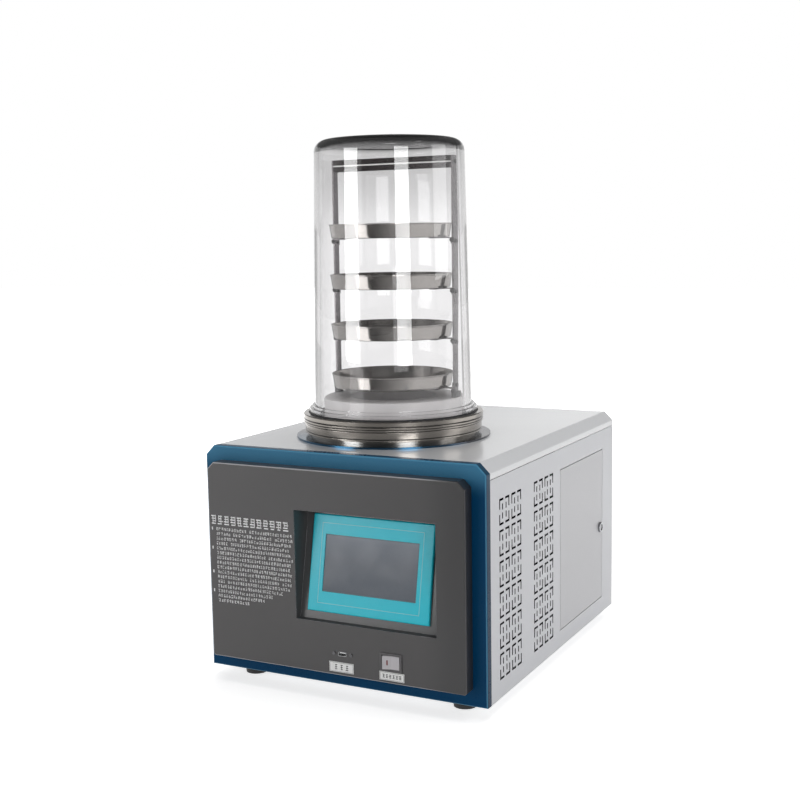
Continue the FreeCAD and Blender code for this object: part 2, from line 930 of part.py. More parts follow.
def label_plates():
    y = panel_face - label_thickness / 2
    under_socket = (socket_x + socket_label_shift, y, socket_z - label_drop_socket)
    under_switch = (switch_x + switch_label_shift, y, switch_z - label_drop_switch)
    return [
        slab(under_socket, socket_label_width, label_thickness, socket_label_height),
        slab(under_switch, switch_label_width, label_thickness, switch_label_height),
    ]


# Access door

def access_door():
    front = door_front + door_gap
    rear = door_rear - door_gap
    low = door_bottom + door_gap
    high = door_top - door_gap
    pan = block(half_width - door_return, half_width, front, rear, low, high)
    hollow = block(
        half_width - door_return, inner_side, front + sheet, rear - sheet, low + sheet, high - sheet,
    )
    lock_hole = rod(lock_body_radius + hole_clearance, sheet, (inner_side, lock_y, lock_height), right)
    pieces = [pan.cut([hollow, lock_hole])]
    pin = door_gap + hinge_tab_gap + hinge_tab - hole_clearance + sheet
    pieces.append(rod(hinge_pin_radius, pin, (hinge_x, hinge_y, high - sheet)))
    pieces.append(rod(hinge_pin_radius, pin, (hinge_x, hinge_y, low + sheet - pin)))
    return fused(pieces)


def door_brackets():
    """Two angle tabs fixed behind the panel, above and below the opening, that hold the door's pins."""
    brackets = []
    y_low = hinge_y - hinge_tab_width / 2
    y_high = hinge_y + hinge_tab_width / 2
    for edge, side in ((door_top, 1), (door_bottom, -1)):
        near = edge + side * hinge_tab_gap
        far = near + side * hinge_tab
        low = min(near, far)
        tab = block(inner_side - hinge_tab_reach, inner_side, y_low, y_high, low, low + hinge_tab)
        end = far + side * hinge_leg
        leg = block(inner_side - hinge_tab, inner_side, y_low, y_high, min(far, end), max(far, end))
        bore = hinge_pin_radius + running_clearance
        hole = rod(bore, 3 * hinge_tab, (hinge_x, hinge_y, low - hinge_tab))
        brackets.append(fused([tab, leg]).cut(hole))
    return brackets


def lock_body():
    """The lock's round head and barrel, with the hexagonal nut that clamps it to the door."""
    axis = (lock_y, lock_height)
    head = rod(lock_head_radius, lock_head_proud, (half_width, *axis), right)
    rim = [e for e in head.Edges if e.BoundBox.XMin > half_width + lock_head_proud - 0.01]
    head = head.makeFillet(lock_head_round, rim)
    barrel = rod(lock_body_radius, half_width - cam_outer, (cam_outer, *axis), right)
    bore = rod(lock_plug_radius + running_clearance, 60, (half_width - 40, *axis), right)
    radius = lock_nut_across / math.sqrt(3)
    corners = []
    for i in range(6):
        angle = math.radians(60 * i)
        y = lock_y + radius * math.cos(angle)
        corners.append((inner_side - lock_nut_thick, y, lock_height + radius * math.sin(angle)))
    nut = prism(corners, right * lock_nut_thick)
    nut = nut.cut(rod(lock_body_radius + running_clearance, 20, (inner_side - 10, *axis), right))
    return [fused([head, barrel]).cut(bore), nut]


def lock_plug():
    axis = (lock_y, lock_height)
    face_x = half_width + lock_plug_proud
    plug = rod(lock_plug_radius, face_x - cam_outer, (cam_outer, *axis), right)
    square = slab((cam_outer - cam_thick / 2 - 0.5, *axis), cam_thick + 1, cam_square, cam_square)
    key_slot = slab((face_x - 3, *axis), 6, 1.6, 8)
    return fused([plug, square]).cut(key_slot)


def lock_cam():
    """The cam hangs down in its unlocked position and turns rearwards to lock."""
    inner = cam_outer - cam_thick
    half = cam_width / 2
    boss = rod(half + 1.5, cam_thick, (inner, lock_y, lock_height), right)
    arm = block(inner, cam_outer, lock_y - half, lock_y + half, lock_height - cam_reach, lock_height)
    hole = slab(((inner + cam_outer) / 2, lock_y, lock_height), cam_thick, cam_square, cam_square)
    return fused([boss, arm]).cut(hole)


def lock_strike():
    """The folded strip behind the opening's rear edge that the cam closes on."""
    land_out = half_width - door_return
    land_in = land_out - strike_sheet
    low = lock_height - strike_height / 2
    high = lock_height + strike_height / 2
    y_near = door_rear + strike_gap
    y_far = door_rear + strike_depth
    land = block(land_in, land_out, y_near, y_far, low, high)
    web = block(land_in, inner_side, y_far - strike_sheet, y_far, low, high)
    foot = block(inner_side - strike_sheet, inner_side, y_far, y_far + strike_foot, low, high)
    return fused([land, web, foot])


# Feet and screws

def rubber_feet():
    feet = []
    for x, y in foot_places():
        foot = Part.makeCone(foot_base_radius, foot_radius, foot_height, Vector(x, y, -foot_height), up)
        recess = rod(screw_head_radius + 1, foot_height - foot_screw_sink, (x, y, -foot_height))
        hole = rod(screw_radius + hole_clearance, foot_height, (x, y, -foot_height))
        feet.append(foot.cut([recess, hole]))
    return feet


def machine_screw(x, y, seat_z, side):
    """A pan-head screw whose head bears on a face at seat_z; side is 1 with the head above, -1 below."""
    head_low = seat_z if side > 0 else seat_z - screw_head_height
    head = rod(screw_head_radius, screw_head_height, (x, y, head_low))
    shank_low = seat_z - screw_length if side > 0 else seat_z
    return fused([head, rod(screw_radius, screw_length, (x, y, shank_low))])


def base_screws():
    screws = [machine_screw(x, y, -foot_screw_sink, -1) for x, y in foot_places()]
    top = compressor_foot_z + compressor_foot_thick
    screws += [machine_screw(x, y, top, 1) for x, y in compressor_screw_places()]
    return screws


# Cold trap

def seal_plate():
    hole = pot_radius + trap_hole_clearance
    return pipe_piece(seal_plate_radius, hole, seal_plate_thick, (trap_x, trap_y, cabinet_height))


def trap_flange():
    groove_z = step_z + ring_high_height / 2
    bore = pot_radius + weld_gap
    lip = bore + pot_lip
    profile = [
        (bore, plate_top), (neck_radius, plate_top), (neck_radius, neck_top),
        (ring_low_radius, neck_top), (ring_low_radius, step_z),
        (ring_high_radius, step_z), (ring_high_radius, groove_z - ring_groove),
        (ring_high_radius - ring_groove, groove_z), (ring_high_radius, groove_z + ring_groove),
        (ring_high_radius, flange_top - ring_edge), (ring_high_radius - ring_edge, flange_top),
        (seal_radius + seal_section + seal_play, flange_top),
        (seal_radius + seal_section + seal_play, flange_top - seal_groove_depth),
        (seal_radius - seal_section - seal_play, flange_top - seal_groove_depth),
        (seal_radius - seal_section - seal_play, flange_top),
        (lip, flange_top), (lip, flange_top - pot_wall), (bore, flange_top - pot_wall),
    ]
    return turned(profile)


def cold_trap_pot():
    """The rolled wall with its lip, the rounded corner ring welded below it, and the flat bottom."""
    outer_low = pot_floor - pot_wall
    lip = pot_radius + pot_lip
    outer = rod(pot_radius, flange_top - outer_low, (trap_x, trap_y, outer_low))
    outer = outer.makeFillet(pot_corner, [e for e in outer.Edges if e.BoundBox.ZMax < outer_low + 0.01])
    inner_radius = pot_radius - pot_wall
    inner = rod(inner_radius, flange_top - pot_floor, (trap_x, trap_y, pot_floor))
    low_edge = [e for e in inner.Edges if e.BoundBox.ZMax < pot_floor + 0.01]
    inner = inner.makeFillet(pot_corner - pot_wall, low_edge)
    rim = rod(lip, pot_wall, (trap_x, trap_y, flange_top - pot_wall))
    drain = rod(drain_pipe_radius - drain_pipe_wall, 4 * pot_wall, (trap_x, trap_y, outer_low - pot_wall))
    port = rod(vacuum_pipe_radius - vacuum_pipe_wall, pot_radius + 5, (trap_x, trap_y, vacuum_z), back)
    shell = fused([outer, rim]).cut([inner, drain, port])
    below_seam = rod(pot_radius + pot_lip, pot_corner, (trap_x, trap_y, outer_low))
    within_corner = rod(pot_radius - pot_corner, pot_corner, (trap_x, trap_y, outer_low))
    bottom = shell.common(below_seam)
    return [shell.cut(below_seam), bottom.cut(within_corner), bottom.common(within_corner)]


def evaporator_coil():
    """Ring tubes round the pot, joined by one upright header on the rear side."""
    low = pot_floor + coil_bottom
    levels = [low + i * coil_pitch for i in range(coil_rings)]
    rings = [Part.makeTorus(coil_radius, coil_tube_radius, Vector(trap_x, trap_y, z)) for z in levels]
    angle = math.radians(coil_line_angle)
    base = (trap_x + coil_radius * math.cos(angle), trap_y + coil_radius * math.sin(angle), low)
    header = rod(coil_tube_radius * 0.8, levels[-1] - low, base)
    return fused(rings + [header])


def trap_insulation():
    jacket = rod(jacket_radius, jacket_top - jacket_bottom, (trap_x, trap_y, jacket_bottom))
    hollow = rod(jacket_bore, jacket_top - pot_floor + pot_wall, (trap_x, trap_y, pot_floor - pot_wall))
    vacuum = rod(vacuum_pipe_radius + hole_clearance, jacket_radius + 5, (trap_x, trap_y, vacuum_z), back)
    drain = rod(drain_pipe_radius + hole_clearance, 60, (trap_x, trap_y, jacket_bottom - 5))
    lines = [rod(pipe_radius + 0.5, 60, start, direction) for start, direction in coil_line_holes()]
    return jacket.cut([hollow, vacuum, drain] + lines)


def coil_line_ends():
    """Where the feed and suction lines meet the coil, and the way they leave it."""
    angle = math.radians(coil_line_angle)
    way = Vector(math.cos(angle), math.sin(angle), 0)
    low = pot_floor + coil_bottom
    high = low + (coil_rings - 1) * coil_pitch
    return [(trap_axis + way * coil_outer + up * z, way) for z in (high, low)]


def coil_line_holes():
    return [((end.x, end.y, end.z), way) for end, way in coil_line_ends()]


def guide_collar():
    """A skirted collar on the flange, and the sleeve let into it that hangs down in the trap."""
    inner = collar_radius - collar_wall
    tube_outer = collar_hole_radius + collar_tube_wall
    edge = collar_edge
    profile = [
        (tube_outer, collar_top), (collar_radius - edge, collar_top), (collar_radius, collar_top - edge),
        (collar_radius, flange_top), (inner, flange_top), (inner, collar_top - collar_wall),
        (tube_outer, collar_top - collar_wall),
    ]
    foot = (trap_x, trap_y, collar_top - collar_tube_length)
    sleeve = pipe_piece(tube_outer, collar_hole_radius, collar_tube_length, foot)
    return [turned(profile), sleeve]


def seal_ring():
    return Part.makeTorus(seal_radius, seal_section, Vector(trap_x, trap_y, seal_z))


# Drying chamber

def arc_edge(start, middle, end):
    return Part.Arc(Vector(*start), Vector(*middle), Vector(*end)).toShape()


def line_edge(start, end):
    return Part.LineSegment(Vector(*start), Vector(*end)).toShape()


def cover_curve(wall):
    """The cover's half section from the side's foot to the axis, moved in by the wall."""
    low = cover_low_radius - wall
    side = cover_top_radius - wall
    corner = cover_corner - wall * 0.9
    top_z = cover_peak - wall
    edge_z = top_z - cover_dome
    shift = corner * (1 - math.sqrt(0.5))
    foot_z = cover_foot if wall else cover_foot + cover_base_thick + cover_step_height
    foot = (low, 0, foot_z)
    turn = (side, 0, edge_z - corner)
    brow = (side - corner, 0, edge_z)
    peak = (0, 0, top_z)
    dome_radius = ((side - corner) ** 2 + cover_dome ** 2) / (2 * cover_dome)
    half = (side - corner) / 2
    half_way = (half, 0, top_z - dome_radius + math.sqrt(dome_radius ** 2 - half ** 2))
    edges = [line_edge(foot, turn)]
    edges.append(arc_edge(turn, (side - shift, 0, edge_z - shift), brow))
    edges.append(arc_edge(brow, half_way, peak))
    return edges


def chamber_cover():
    """One clear moulding: a tapered bell with a domed top and a stepped flange that sits on the seal."""
    step_low = cover_foot + cover_base_thick
    step_high = step_low + cover_step_height
    inner_foot = (cover_low_radius - cover_wall, 0, cover_foot)
    stops = [inner_foot, (cover_base_radius, 0, cover_foot), (cover_base_radius, 0, step_low)]
    stops += [(cover_step_radius, 0, step_low), (cover_step_radius, 0, step_high)]
    stops.append((cover_low_radius, 0, step_high))
    edges = [line_edge(a, b) for a, b in zip(stops, stops[1:])]
    edges += cover_curve(0)
    edges.append(line_edge((0, 0, cover_peak), (0, 0, cover_peak - cover_wall)))
    edges += cover_curve(cover_wall)
    section = Part.Face(Part.Wire(Part.__sortEdges__(edges)))
    bell = section.revolve(Vector(0, 0, 0), up, 360)
    bell.translate(trap_axis)
    return bell


def rack_uprights():
    return [upright(side) for side in (-1, 1)]


def upright(side):
    near = trap_x + side * upright_inner
    far = trap_x + side * upright_outer
    bar = block(
        min(near, far), max(near, far), rack_y - upright_width / 2, rack_y + upright_width / 2,
        upright_bottom, upright_top,
    )
    heights = rack_screw_heights()
    return bar.cut([rod(rack_screw_hole, upright_thick, (min(near, far), rack_y, z), right) for z in heights])


def bracket_leg_centers():
    """The bracket legs hang below each tray's floor, but the lowest tray's legs rise beside it."""
    lowest = tray_floors[0] + bracket_leg / 2
    return [lowest] + [z - bracket_sheet - bracket_leg / 2 for z in tray_floors[1:]]


def rack_screw_heights():
    return bracket_leg_centers() + [bar_z + bar_height / 2]


def rack_crossbar():
    """A strip across the rack with its ends bent back along the uprights."""
    front = rack_y - upright_width / 2
    strip_left = trap_x - upright_inner
    strip = block(strip_left, strip_left + 2 * upright_inner, front, front + bar_sheet, bar_z, upright_top)
    pieces = [strip]
    for side in (-1, 1):
        outer = trap_x + side * upright_inner
        inner = outer - side * bar_sheet
        low_x = min(inner, outer)
        tab = block(low_x, low_x + bar_sheet, front, front + upright_width, bar_z, upright_top)
        hole = rod(rack_screw_hole, bar_sheet, (low_x, rack_y, bar_z + bar_height / 2), right)
        pieces.append(tab.cut(hole))
    return fused(pieces)


def rack_feet():
    feet = []
    half_thick = upright_thick / 2
    half_wide = upright_width / 2
    top = collar_top + rack_foot_height
    for side in (-1, 1):
        middle = trap_x + side * (upright_inner + upright_outer) / 2
        width = upright_thick + 2 * rack_foot_wall
        depth = upright_width + 2 * rack_foot_wall
        cap = slab((middle, rack_y, collar_top + rack_foot_height / 2), width, depth, rack_foot_height)
        low = (middle - half_thick, rack_y - half_wide, upright_bottom)
        slot = block(low[0], middle + half_thick, low[1], rack_y + half_wide, low[2], top)
        feet.append(cap.cut(slot))
    return feet


def tray_brackets():
    """Angle brackets, each with a rail that runs forward under its tray past the tray's middle."""
    brackets = []
    y_low = rack_y - upright_width / 2
    y_high = rack_y + upright_width / 2
    y_front = trap_y - bracket_forward
    for z, leg_z in zip(tray_floors, bracket_leg_centers()):
        for side in (-1, 1):
            outer = trap_x + side * upright_inner
            inner = outer - side * bracket_reach
            rail_out = inner + side * bracket_rail_width
            leg_in = outer - side * bracket_sheet
            low = z - bracket_sheet
            shelf = block(min(inner, outer), max(inner, outer), y_low, y_high, low, z)
            rail = block(min(inner, rail_out), max(inner, rail_out), y_front, y_high, low, z)
            leg_low = leg_z - bracket_leg / 2
            leg = block(min(leg_in, outer), max(leg_in, outer), y_low, y_high, leg_low, leg_low + bracket_leg)
            hole = rod(rack_screw_hole, bracket_sheet, (min(leg_in, outer), rack_y, leg_z), right)
            brackets.append(fused([shelf, rail, leg]).cut(hole))
    return brackets


def rack_screws():
    screws = []
    for side in (-1, 1):
        face = trap_x + side * upright_outer
        for z in rack_screw_heights():
            length = upright_thick + 3.5
            shank_start = face if side < 0 else face - length
            head_start = face - rack_screw_head_height if side < 0 else face
            shank = rod(rack_screw_radius, length, (shank_start, rack_y, z), right)
            head = rod(rack_screw_head, rack_screw_head_height, (head_start, rack_y, z), right)
            screws.append(fused([shank, head]))
    return screws


def tray(floor_z):
    """A shallow round dish with a flared wall and a small rolled rim."""
    wall = tray_sheet
    rim_z = floor_z + tray_height
    profile = [
        (0, floor_z), (tray_floor_radius - tray_corner, floor_z), (tray_floor_radius - 1, floor_z + 1),
        (tray_floor_radius, floor_z + tray_corner), (tray_rim_radius - wall, rim_z - tray_rim_roll - wall),
        (tray_rim_radius, rim_z - tray_rim_roll), (tray_rim_radius, rim_z),
        (tray_rim_radius - 2 * wall, rim_z),
        (tray_rim_radius - 2 * wall, rim_z - wall), (tray_floor_radius - wall, floor_z + tray_corner),
        (tray_floor_radius - tray_corner, floor_z + wall), (0, floor_z + wall),
    ]
    return turned(profile)


# Condenser and fan

def condenser_levels():
    step = condenser_tall / condenser_tubes
    return [condenser_bottom + step * (i + 0.5) for i in range(condenser_tubes)]


def condenser_x():
    return (condenser_inner + condenser_outer) / 2


def condenser_coil():
    """One serpentine tube: straight runs through the fins joined by half-turn bends."""
    levels = condenser_levels()
    step = levels[1] - levels[0]
    x = condenser_x()
    front = condenser_front - condenser_overhang
    rear = tube_end
    pieces = []
    for i, z in enumerate(levels):
        pieces.append(rod(condenser_tube_radius, rear - front, (x, front, z), back))
        if i + 1 < len(levels):
            bend_y = rear if i % 2 else front
            bend = Part.makeTorus(step / 2, condenser_tube_radius, Vector(x, bend_y, z + step / 2), right)
            keep_low = bend_y if i % 2 else bend_y - step
            keep = block(x - 10, x + 10, keep_low, keep_low + step, z - 10, z + step + 10)
            pieces.append(bend.common(keep))
    return fused(pieces)


def condenser_fins():
    """Thin fins on the tubes, between two thicker end plates that stand on the pan."""
    plates = []
    span = condenser_rear - condenser_front
    top = condenser_bottom + condenser_tall
    for i in range(1, fin_count + 1):
        y = condenser_front + i * span / (fin_count + 1) - fin_thick / 2
        plates.append(block(condenser_inner, condenser_outer, y, y + fin_thick, condenser_bottom, top))
    for y in (condenser_front, condenser_rear - end_plate):
        plates.append(block(condenser_inner, condenser_outer, y, y + end_plate, base_sheet, top))
    bore = condenser_tube_radius + running_clearance
    tubes = [rod(bore, span, (condenser_x(), condenser_front, z), back) for z in condenser_levels()]
    return [plate.cut(tubes) for plate in plates]


def fan_shroud():
    """A moulded plate with the fan's ring, four struts and the cup that holds the motor."""
    plate_x = condenser_inner - shroud_plate
    top = condenser_bottom + condenser_tall
    plate = block(plate_x, condenser_inner, condenser_front, condenser_rear, base_sheet, top)
    ring_inner = fan_radius + fan_tip_gap
    length = shroud_ring_depth + shroud_plate
    ring_outer = ring_inner + shroud_ring_wall
    ring_shape = rod(ring_outer, length, (fan_ring_x, fan_y, fan_z), right)
    opening = rod(ring_inner, length + 2, (fan_ring_x - 1, fan_y, fan_z), right)
    body = fused([plate, ring_shape]).cut(opening)
    strut_x = fan_ring_x - strut_thick
    spider = rod(ring_outer, strut_thick, (strut_x, fan_y, fan_z), right)
    spider = spider.cut(rod(ring_inner - 2, strut_thick, (strut_x, fan_y, fan_z), right))
    cross = [
        slab((strut_x + strut_thick / 2, fan_y, fan_z), strut_thick, 2 * ring_inner, strut_width),
        slab((strut_x + strut_thick / 2, fan_y, fan_z), strut_thick, strut_width, 2 * ring_inner),
        rod(motor_radius + motor_cup_wall, strut_thick, (strut_x, fan_y, fan_z), right),
    ]
    cup = rod(motor_radius, strut_thick + 2, (strut_x - 1, fan_y, fan_z), right)
    return fused([body, spider] + cross).cut(cup)


def fan_motor():
    """The fan motor sits in the shroud's cup, held by a shoulder behind the struts."""
    front = fan_ring_x
    neck = rod(motor_radius, strut_thick, (front - strut_thick, fan_y, fan_z), right)
    case_length = motor_length - strut_thick
    case = rod(motor_radius + motor_shoulder, case_length, (front - motor_length, fan_y, fan_z), right)
    bore_radius = fan_shaft_radius + running_clearance
    bore = rod(bore_radius, fan_shaft_length, (front - fan_shaft_length, fan_y, fan_z), right)
    return fused([neck, case]).cut(bore)


def fan_rotor():
    """Hub, slanted blades and shaft, moulded together."""
    hub_x = fan_ring_x + fan_hub_gap
    hub = rod(fan_hub_radius, fan_hub_depth, (hub_x, fan_y, fan_z), right)
    shaft_length = fan_shaft_length + fan_hub_gap
    shaft = rod(fan_shaft_radius, shaft_length, (hub_x - shaft_length + 1, fan_y, fan_z), right)
    pieces = [hub, shaft]
    middle_x = hub_x + fan_hub_depth / 2
    for i in range(fan_blades):
        blade = block(
            -fan_blade_thick / 2, fan_blade_thick / 2, -fan_blade_chord / 2, fan_blade_chord / 2,
            fan_hub_radius - 3, fan_radius,
        )
        blade.rotate(Vector(0, 0, 0), up, fan_blade_angle)
        blade.rotate(Vector(0, 0, 0), right, 360 * i / fan_blades)
        blade.translate(Vector(middle_x, fan_y, fan_z))
        pieces.append(blade)
    swept = rod(fan_radius, 60, (middle_x - 30, fan_y, fan_z), right)
    return fused(pieces).common(swept)


# Compressor and pipes

def compressor():
    low = compressor_foot_z
    plate = slab(
        (compressor_x, compressor_y, low + compressor_foot_thick / 2),
        compressor_foot_width, compressor_foot_depth, compressor_foot_thick,
    )
    hole = screw_radius + hole_clearance
    plate = plate.cut([rod(hole, 5, (x, y, low - 1)) for x, y in compressor_screw_places()])
    body = rod(compressor_radius, compressor_tall, (compressor_x, compressor_y, low + compressor_foot_thick))
    top = low + compressor_foot_thick + compressor_tall
    body = body.makeFillet(compressor_dome, [e for e in body.Edges if e.BoundBox.ZMin > top - 0.01])
    seam_low = low + compressor_tall * compressor_seam_share
    seam_radius = compressor_radius + compressor_seam_proud
    seam = rod(seam_radius, compressor_seam_height, (compressor_x, compressor_y, seam_low))
    stubs = [rod(stub_radius, stub_length, stub, right) for stub in compressor_stubs()]
    return fused([plate, body, seam] + stubs)


def compressor_stubs():
    """The roots of the discharge and suction stubs on the compressor's right side."""
    low = compressor_foot_z + compressor_foot_thick
    x = compressor_x + compressor_radius - 1
    return [(x, compressor_y, low + share * compressor_tall) for share in (discharge_share, suction_share)]


def compressor_grommets():
    rings = []
    waist_low = base_sheet + (grommet_height - grommet_waist_height) / 2
    for x, y in compressor_screw_places():
        body = rod(grommet_radius, grommet_height, (x, y, base_sheet))
        bore = grommet_radius - grommet_waist
        waist = pipe_piece(grommet_radius, bore, grommet_waist_height, (x, y, waist_low))
        hole = rod(screw_radius + hole_clearance, grommet_height, (x, y, base_sheet))
        rings.append(body.cut([waist, hole]))
    return rings


def filter_drier():
    neck = drier_neck
    high_z = drier_z + drier_length - neck
    body = rod(drier_radius, drier_length - 2 * neck, (drier_x, drier_y, drier_z + neck))
    low = Part.makeCone(pipe_radius + 1, drier_radius, neck, Vector(drier_x, drier_y, drier_z), up)
    high = Part.makeCone(drier_radius, pipe_radius + 1, neck, Vector(drier_x, drier_y, high_z), up)
    return fused([low, body, high])


def refrigerant_pipes():
    """Discharge, liquid, feed and suction lines, each meeting its fittings face to face."""
    discharge_root, suction_root = compressor_stubs()
    tube_x = condenser_x()
    levels = condenser_levels()
    outside = tube_end + pipe_behind_coil
    discharge_x = discharge_root[0] + stub_length
    suction_x = suction_root[0] + stub_length
    high = levels[-1]
    low = levels[0]
    inboard = condenser_inner - pipe_inboard
    riser_x = discharge_x + discharge_reach
    discharge = [
        (discharge_x, compressor_y, discharge_root[2]), (riser_x, compressor_y, discharge_root[2]),
        (riser_x, compressor_y, high), (inboard, compressor_y, high), (inboard, outside, high),
        (tube_x, outside, high), (tube_x, tube_end, high),
    ]
    x, y, z = drier_x, drier_y, drier_z
    liquid = [
        (tube_x, tube_end, low), (tube_x, outside, low), (x, outside, low), (x, outside, drier_bend_z),
        (x, y, drier_bend_z), (x, y, z),
    ]
    (feed_end, way), (suction_end, _) = coil_line_ends()
    feed_out = feed_end + way * coil_line_reach
    suction_out = suction_end + way * coil_line_reach
    feed = [(x, y, z + drier_length), (x, y, feed_end.z), tuple(feed_out), tuple(feed_end)]
    suction = [
        (suction_x, compressor_y, suction_root[2]),
        (suction_x + suction_reach, compressor_y, suction_root[2]),
        tuple(suction_out), tuple(suction_end),
    ]
    return [bent_pipe(points, pipe_radius, pipe_bend) for points in (discharge, liquid, feed, suction)]


# Electrical parts

def plate_place():
    """The electrical plate's outer face and its front edge."""
    return half_width - plate_from_side, door_front + plate_front_gap


def board_place():
    face, front = plate_place()
    return face, front + (plate_width - board_width) / 2, plate_tall - board_tall - board_from_top


def standoff_places():
    face, front, low = board_place()
    across = (standoff_inset, board_width - standoff_inset)
    rise = (standoff_inset, board_tall - standoff_inset)
    return face, [(front + a, low + b) for a in across for b in rise]


def electrical_plate():
    face, front = plate_place()
    panel = block(face - plate_sheet, face, front, front + plate_width, base_sheet, plate_tall)
    foot = block(face - plate_foot, face, front, front + plate_width, base_sheet, 2 * base_sheet)
    studs_face, rows = standoff_places()
    studs = [rod(standoff_radius, standoff_length, (studs_face, y, z), right) for y, z in rows]
    return fused([panel, foot] + studs)


def control_board():
    """A board with relays, a row of terminals, a chip, a transformer and three capacitors."""
    face, front, low = board_place()
    x = face + standoff_length
    top = x + board_thick
    parts = [block(x, top, front, front + board_width, low, low + board_tall)]
    for count, first, pitch, width, foot, tall, stands in board_rows:
        for i in range(count):
            y = front + first + i * pitch
            parts.append(block(top, top + stands, y, y + width, low + foot, low + foot + tall))
    for i in range(capacitor_count):
        z = low + capacitor_low + i * capacitor_pitch
        parts.append(rod(capacitor_radius, capacitor_tall, (top, front + capacitor_along, z), right))
    return fused(parts)


def power_supply():
    face, front = plate_place()
    near = front + supply_front_gap
    outer = face + supply_deep
    cage = block(face, outer, near, near + supply_width, supply_low, supply_low + supply_tall)
    low = supply_low + supply_slot_margin
    high = supply_low + supply_tall - supply_slot_margin
    slots = []
    for i in range(supply_slots):
        y = near + supply_slot_first + i * supply_slot_pitch
        slots.append(block(outer - supply_slot_depth, outer, y, y + supply_slot_width, low, high))
    return cage.cut(slots)


def rear_connector(x, prongs):
    """A flanged connector in the rear panel, with three blades or with a core that takes them."""
    z = connector_z
    outside = rear_face + connector_flange_thick
    center_y = rear_face + connector_flange_thick / 2
    flange = slab((x, center_y, z), connector_flange_width, connector_flange_thick, connector_flange_height)
    body_y = rear_face - connector_body_depth / 2
    body = slab((x, body_y, z), connector_body_width, connector_body_depth, connector_body_height)
    inner_w = connector_body_width - 2 * connector_wall
    inner_h = connector_body_height - 2 * connector_wall
    hollow = slab((x, outside - connector_hollow / 2, z), inner_w, connector_hollow, inner_h)
    shell = fused([flange, body]).cut(hollow)
    if prongs:
        places = [(x + i * pin_spacing, z - pin_drop) for i in (-1, 1)] + [(x, z + earth_pin_raise)]
        length = connector_hollow - pin_setback
        pin_y = outside - connector_hollow + length / 2
        blades = [slab((a, pin_y, b), pin_width, length, pin_tall) for a, b in places]
        return fused([shell] + blades)
    core_deep = connector_hollow - core_setback
    core = slab((x, outside - connector_hollow + core_deep / 2, z), core_width, core_deep, core_tall)
    places = [(x + i * core_hole_spacing, z - core_hole_drop) for i in (-1, 1)] + [(x, z + core_earth_raise)]
    hole_y = outside - core_hole_depth / 2
    holes = [slab((a, hole_y, b), core_hole_width, core_hole_depth, core_hole_tall) for a, b in places]
    return fused([shell, core]).cut(holes)


def power_inlet():
    return rear_connector(inlet_x, True)


def pump_outlet():
    return rear_connector(outlet_x, False)


# Vacuum line and drain

def vacuum_line():
    """The pipe from the pot's side to the clamp flange behind the rear panel."""
    start = trap_y + pot_radius - 8
    end = cabinet_depth + vacuum_proud
    flange_y = end - vacuum_flange_thick
    pipe = rod(vacuum_pipe_radius, end - start, (trap_x, start, vacuum_z), back)
    flange = rod(vacuum_flange_radius, vacuum_flange_thick, (trap_x, flange_y, vacuum_z), back)
    taper_low = Vector(trap_x, flange_y - vacuum_flange_taper, vacuum_z)
    taper = Part.makeCone(vacuum_pipe_radius, vacuum_flange_radius, vacuum_flange_taper, taper_low, back)
    bore = rod(vacuum_pipe_radius - vacuum_pipe_wall, end - start + 2, (trap_x, start - 1, vacuum_z), back)
    pot = rod(pot_radius + 0.1, 200, (trap_x, trap_y, vacuum_z - 100))
    return fused([pipe, flange, taper]).cut([bore, pot])


def drain_line():
    start_z = pot_floor - pot_wall
    route = [
        (trap_x, trap_y, start_z), (trap_x, trap_y, drain_z),
        (drain_x, trap_y + drain_turn_back, drain_z), (drain_x, rear_inner - spigot_reach, drain_z),
    ]
    return bent_pipe(route, drain_pipe_radius, drain_bend, drain_pipe_radius - drain_pipe_wall)


def drain_valve():
    """A ball valve clamped to the rear panel, with an inlet spigot inside and a hose barb outside."""
    spigot_length = rear_face - rear_inner + spigot_reach
    spigot = rod(spigot_radius, spigot_length, (drain_x, rear_face - spigot_length, drain_z), back)
    nut = rod(valve_nut_radius, valve_nut_thick, (drain_x, rear_face, drain_z), back)
    body = rod(valve_radius, valve_length, (drain_x, rear_face + valve_nut_thick, drain_z), back)
    end = rear_face + valve_nut_thick + valve_length
    barb_root = barb_radius - barb_step
    barb = [rod(barb_root, barb_length, (drain_x, end, drain_z), back)]
    for i in range(barb_rings):
        start = Vector(drain_x, end + 1 + i * barb_pitch, drain_z)
        barb.append(Part.makeCone(barb_radius, barb_root, barb_ring_length, start, back))
    bonnet = rod(stem_radius + bonnet_wall, bonnet_top - drain_z, (drain_x, valve_y, drain_z))
    bore = rod(valve_bore, 120, (drain_x, rear_inner - 30, drain_z), back)
    stem_low = drain_z + valve_radius - stem_sink
    stem_hole = rod(stem_radius + running_clearance, 30, (drain_x, valve_y, stem_low))
    return fused([spigot, nut, body, bonnet] + barb).cut([bore, stem_hole])


def drain_lever():
    """The lever lies across the valve when it is closed and along it when it is open."""
    stem_low = drain_z + valve_radius - stem_sink
    low = bonnet_top + lever_gap
    stem = rod(stem_radius, low + 0.7 - stem_low, (drain_x, valve_y, stem_low))
    half = lever_width / 2
    grip = block(drain_x, drain_x + lever_length, valve_y - half, valve_y + half, low, low + lever_thick)
    hub = rod(half + 1, lever_thick, (drain_x, valve_y, low))
    return fused([stem, grip, hub])


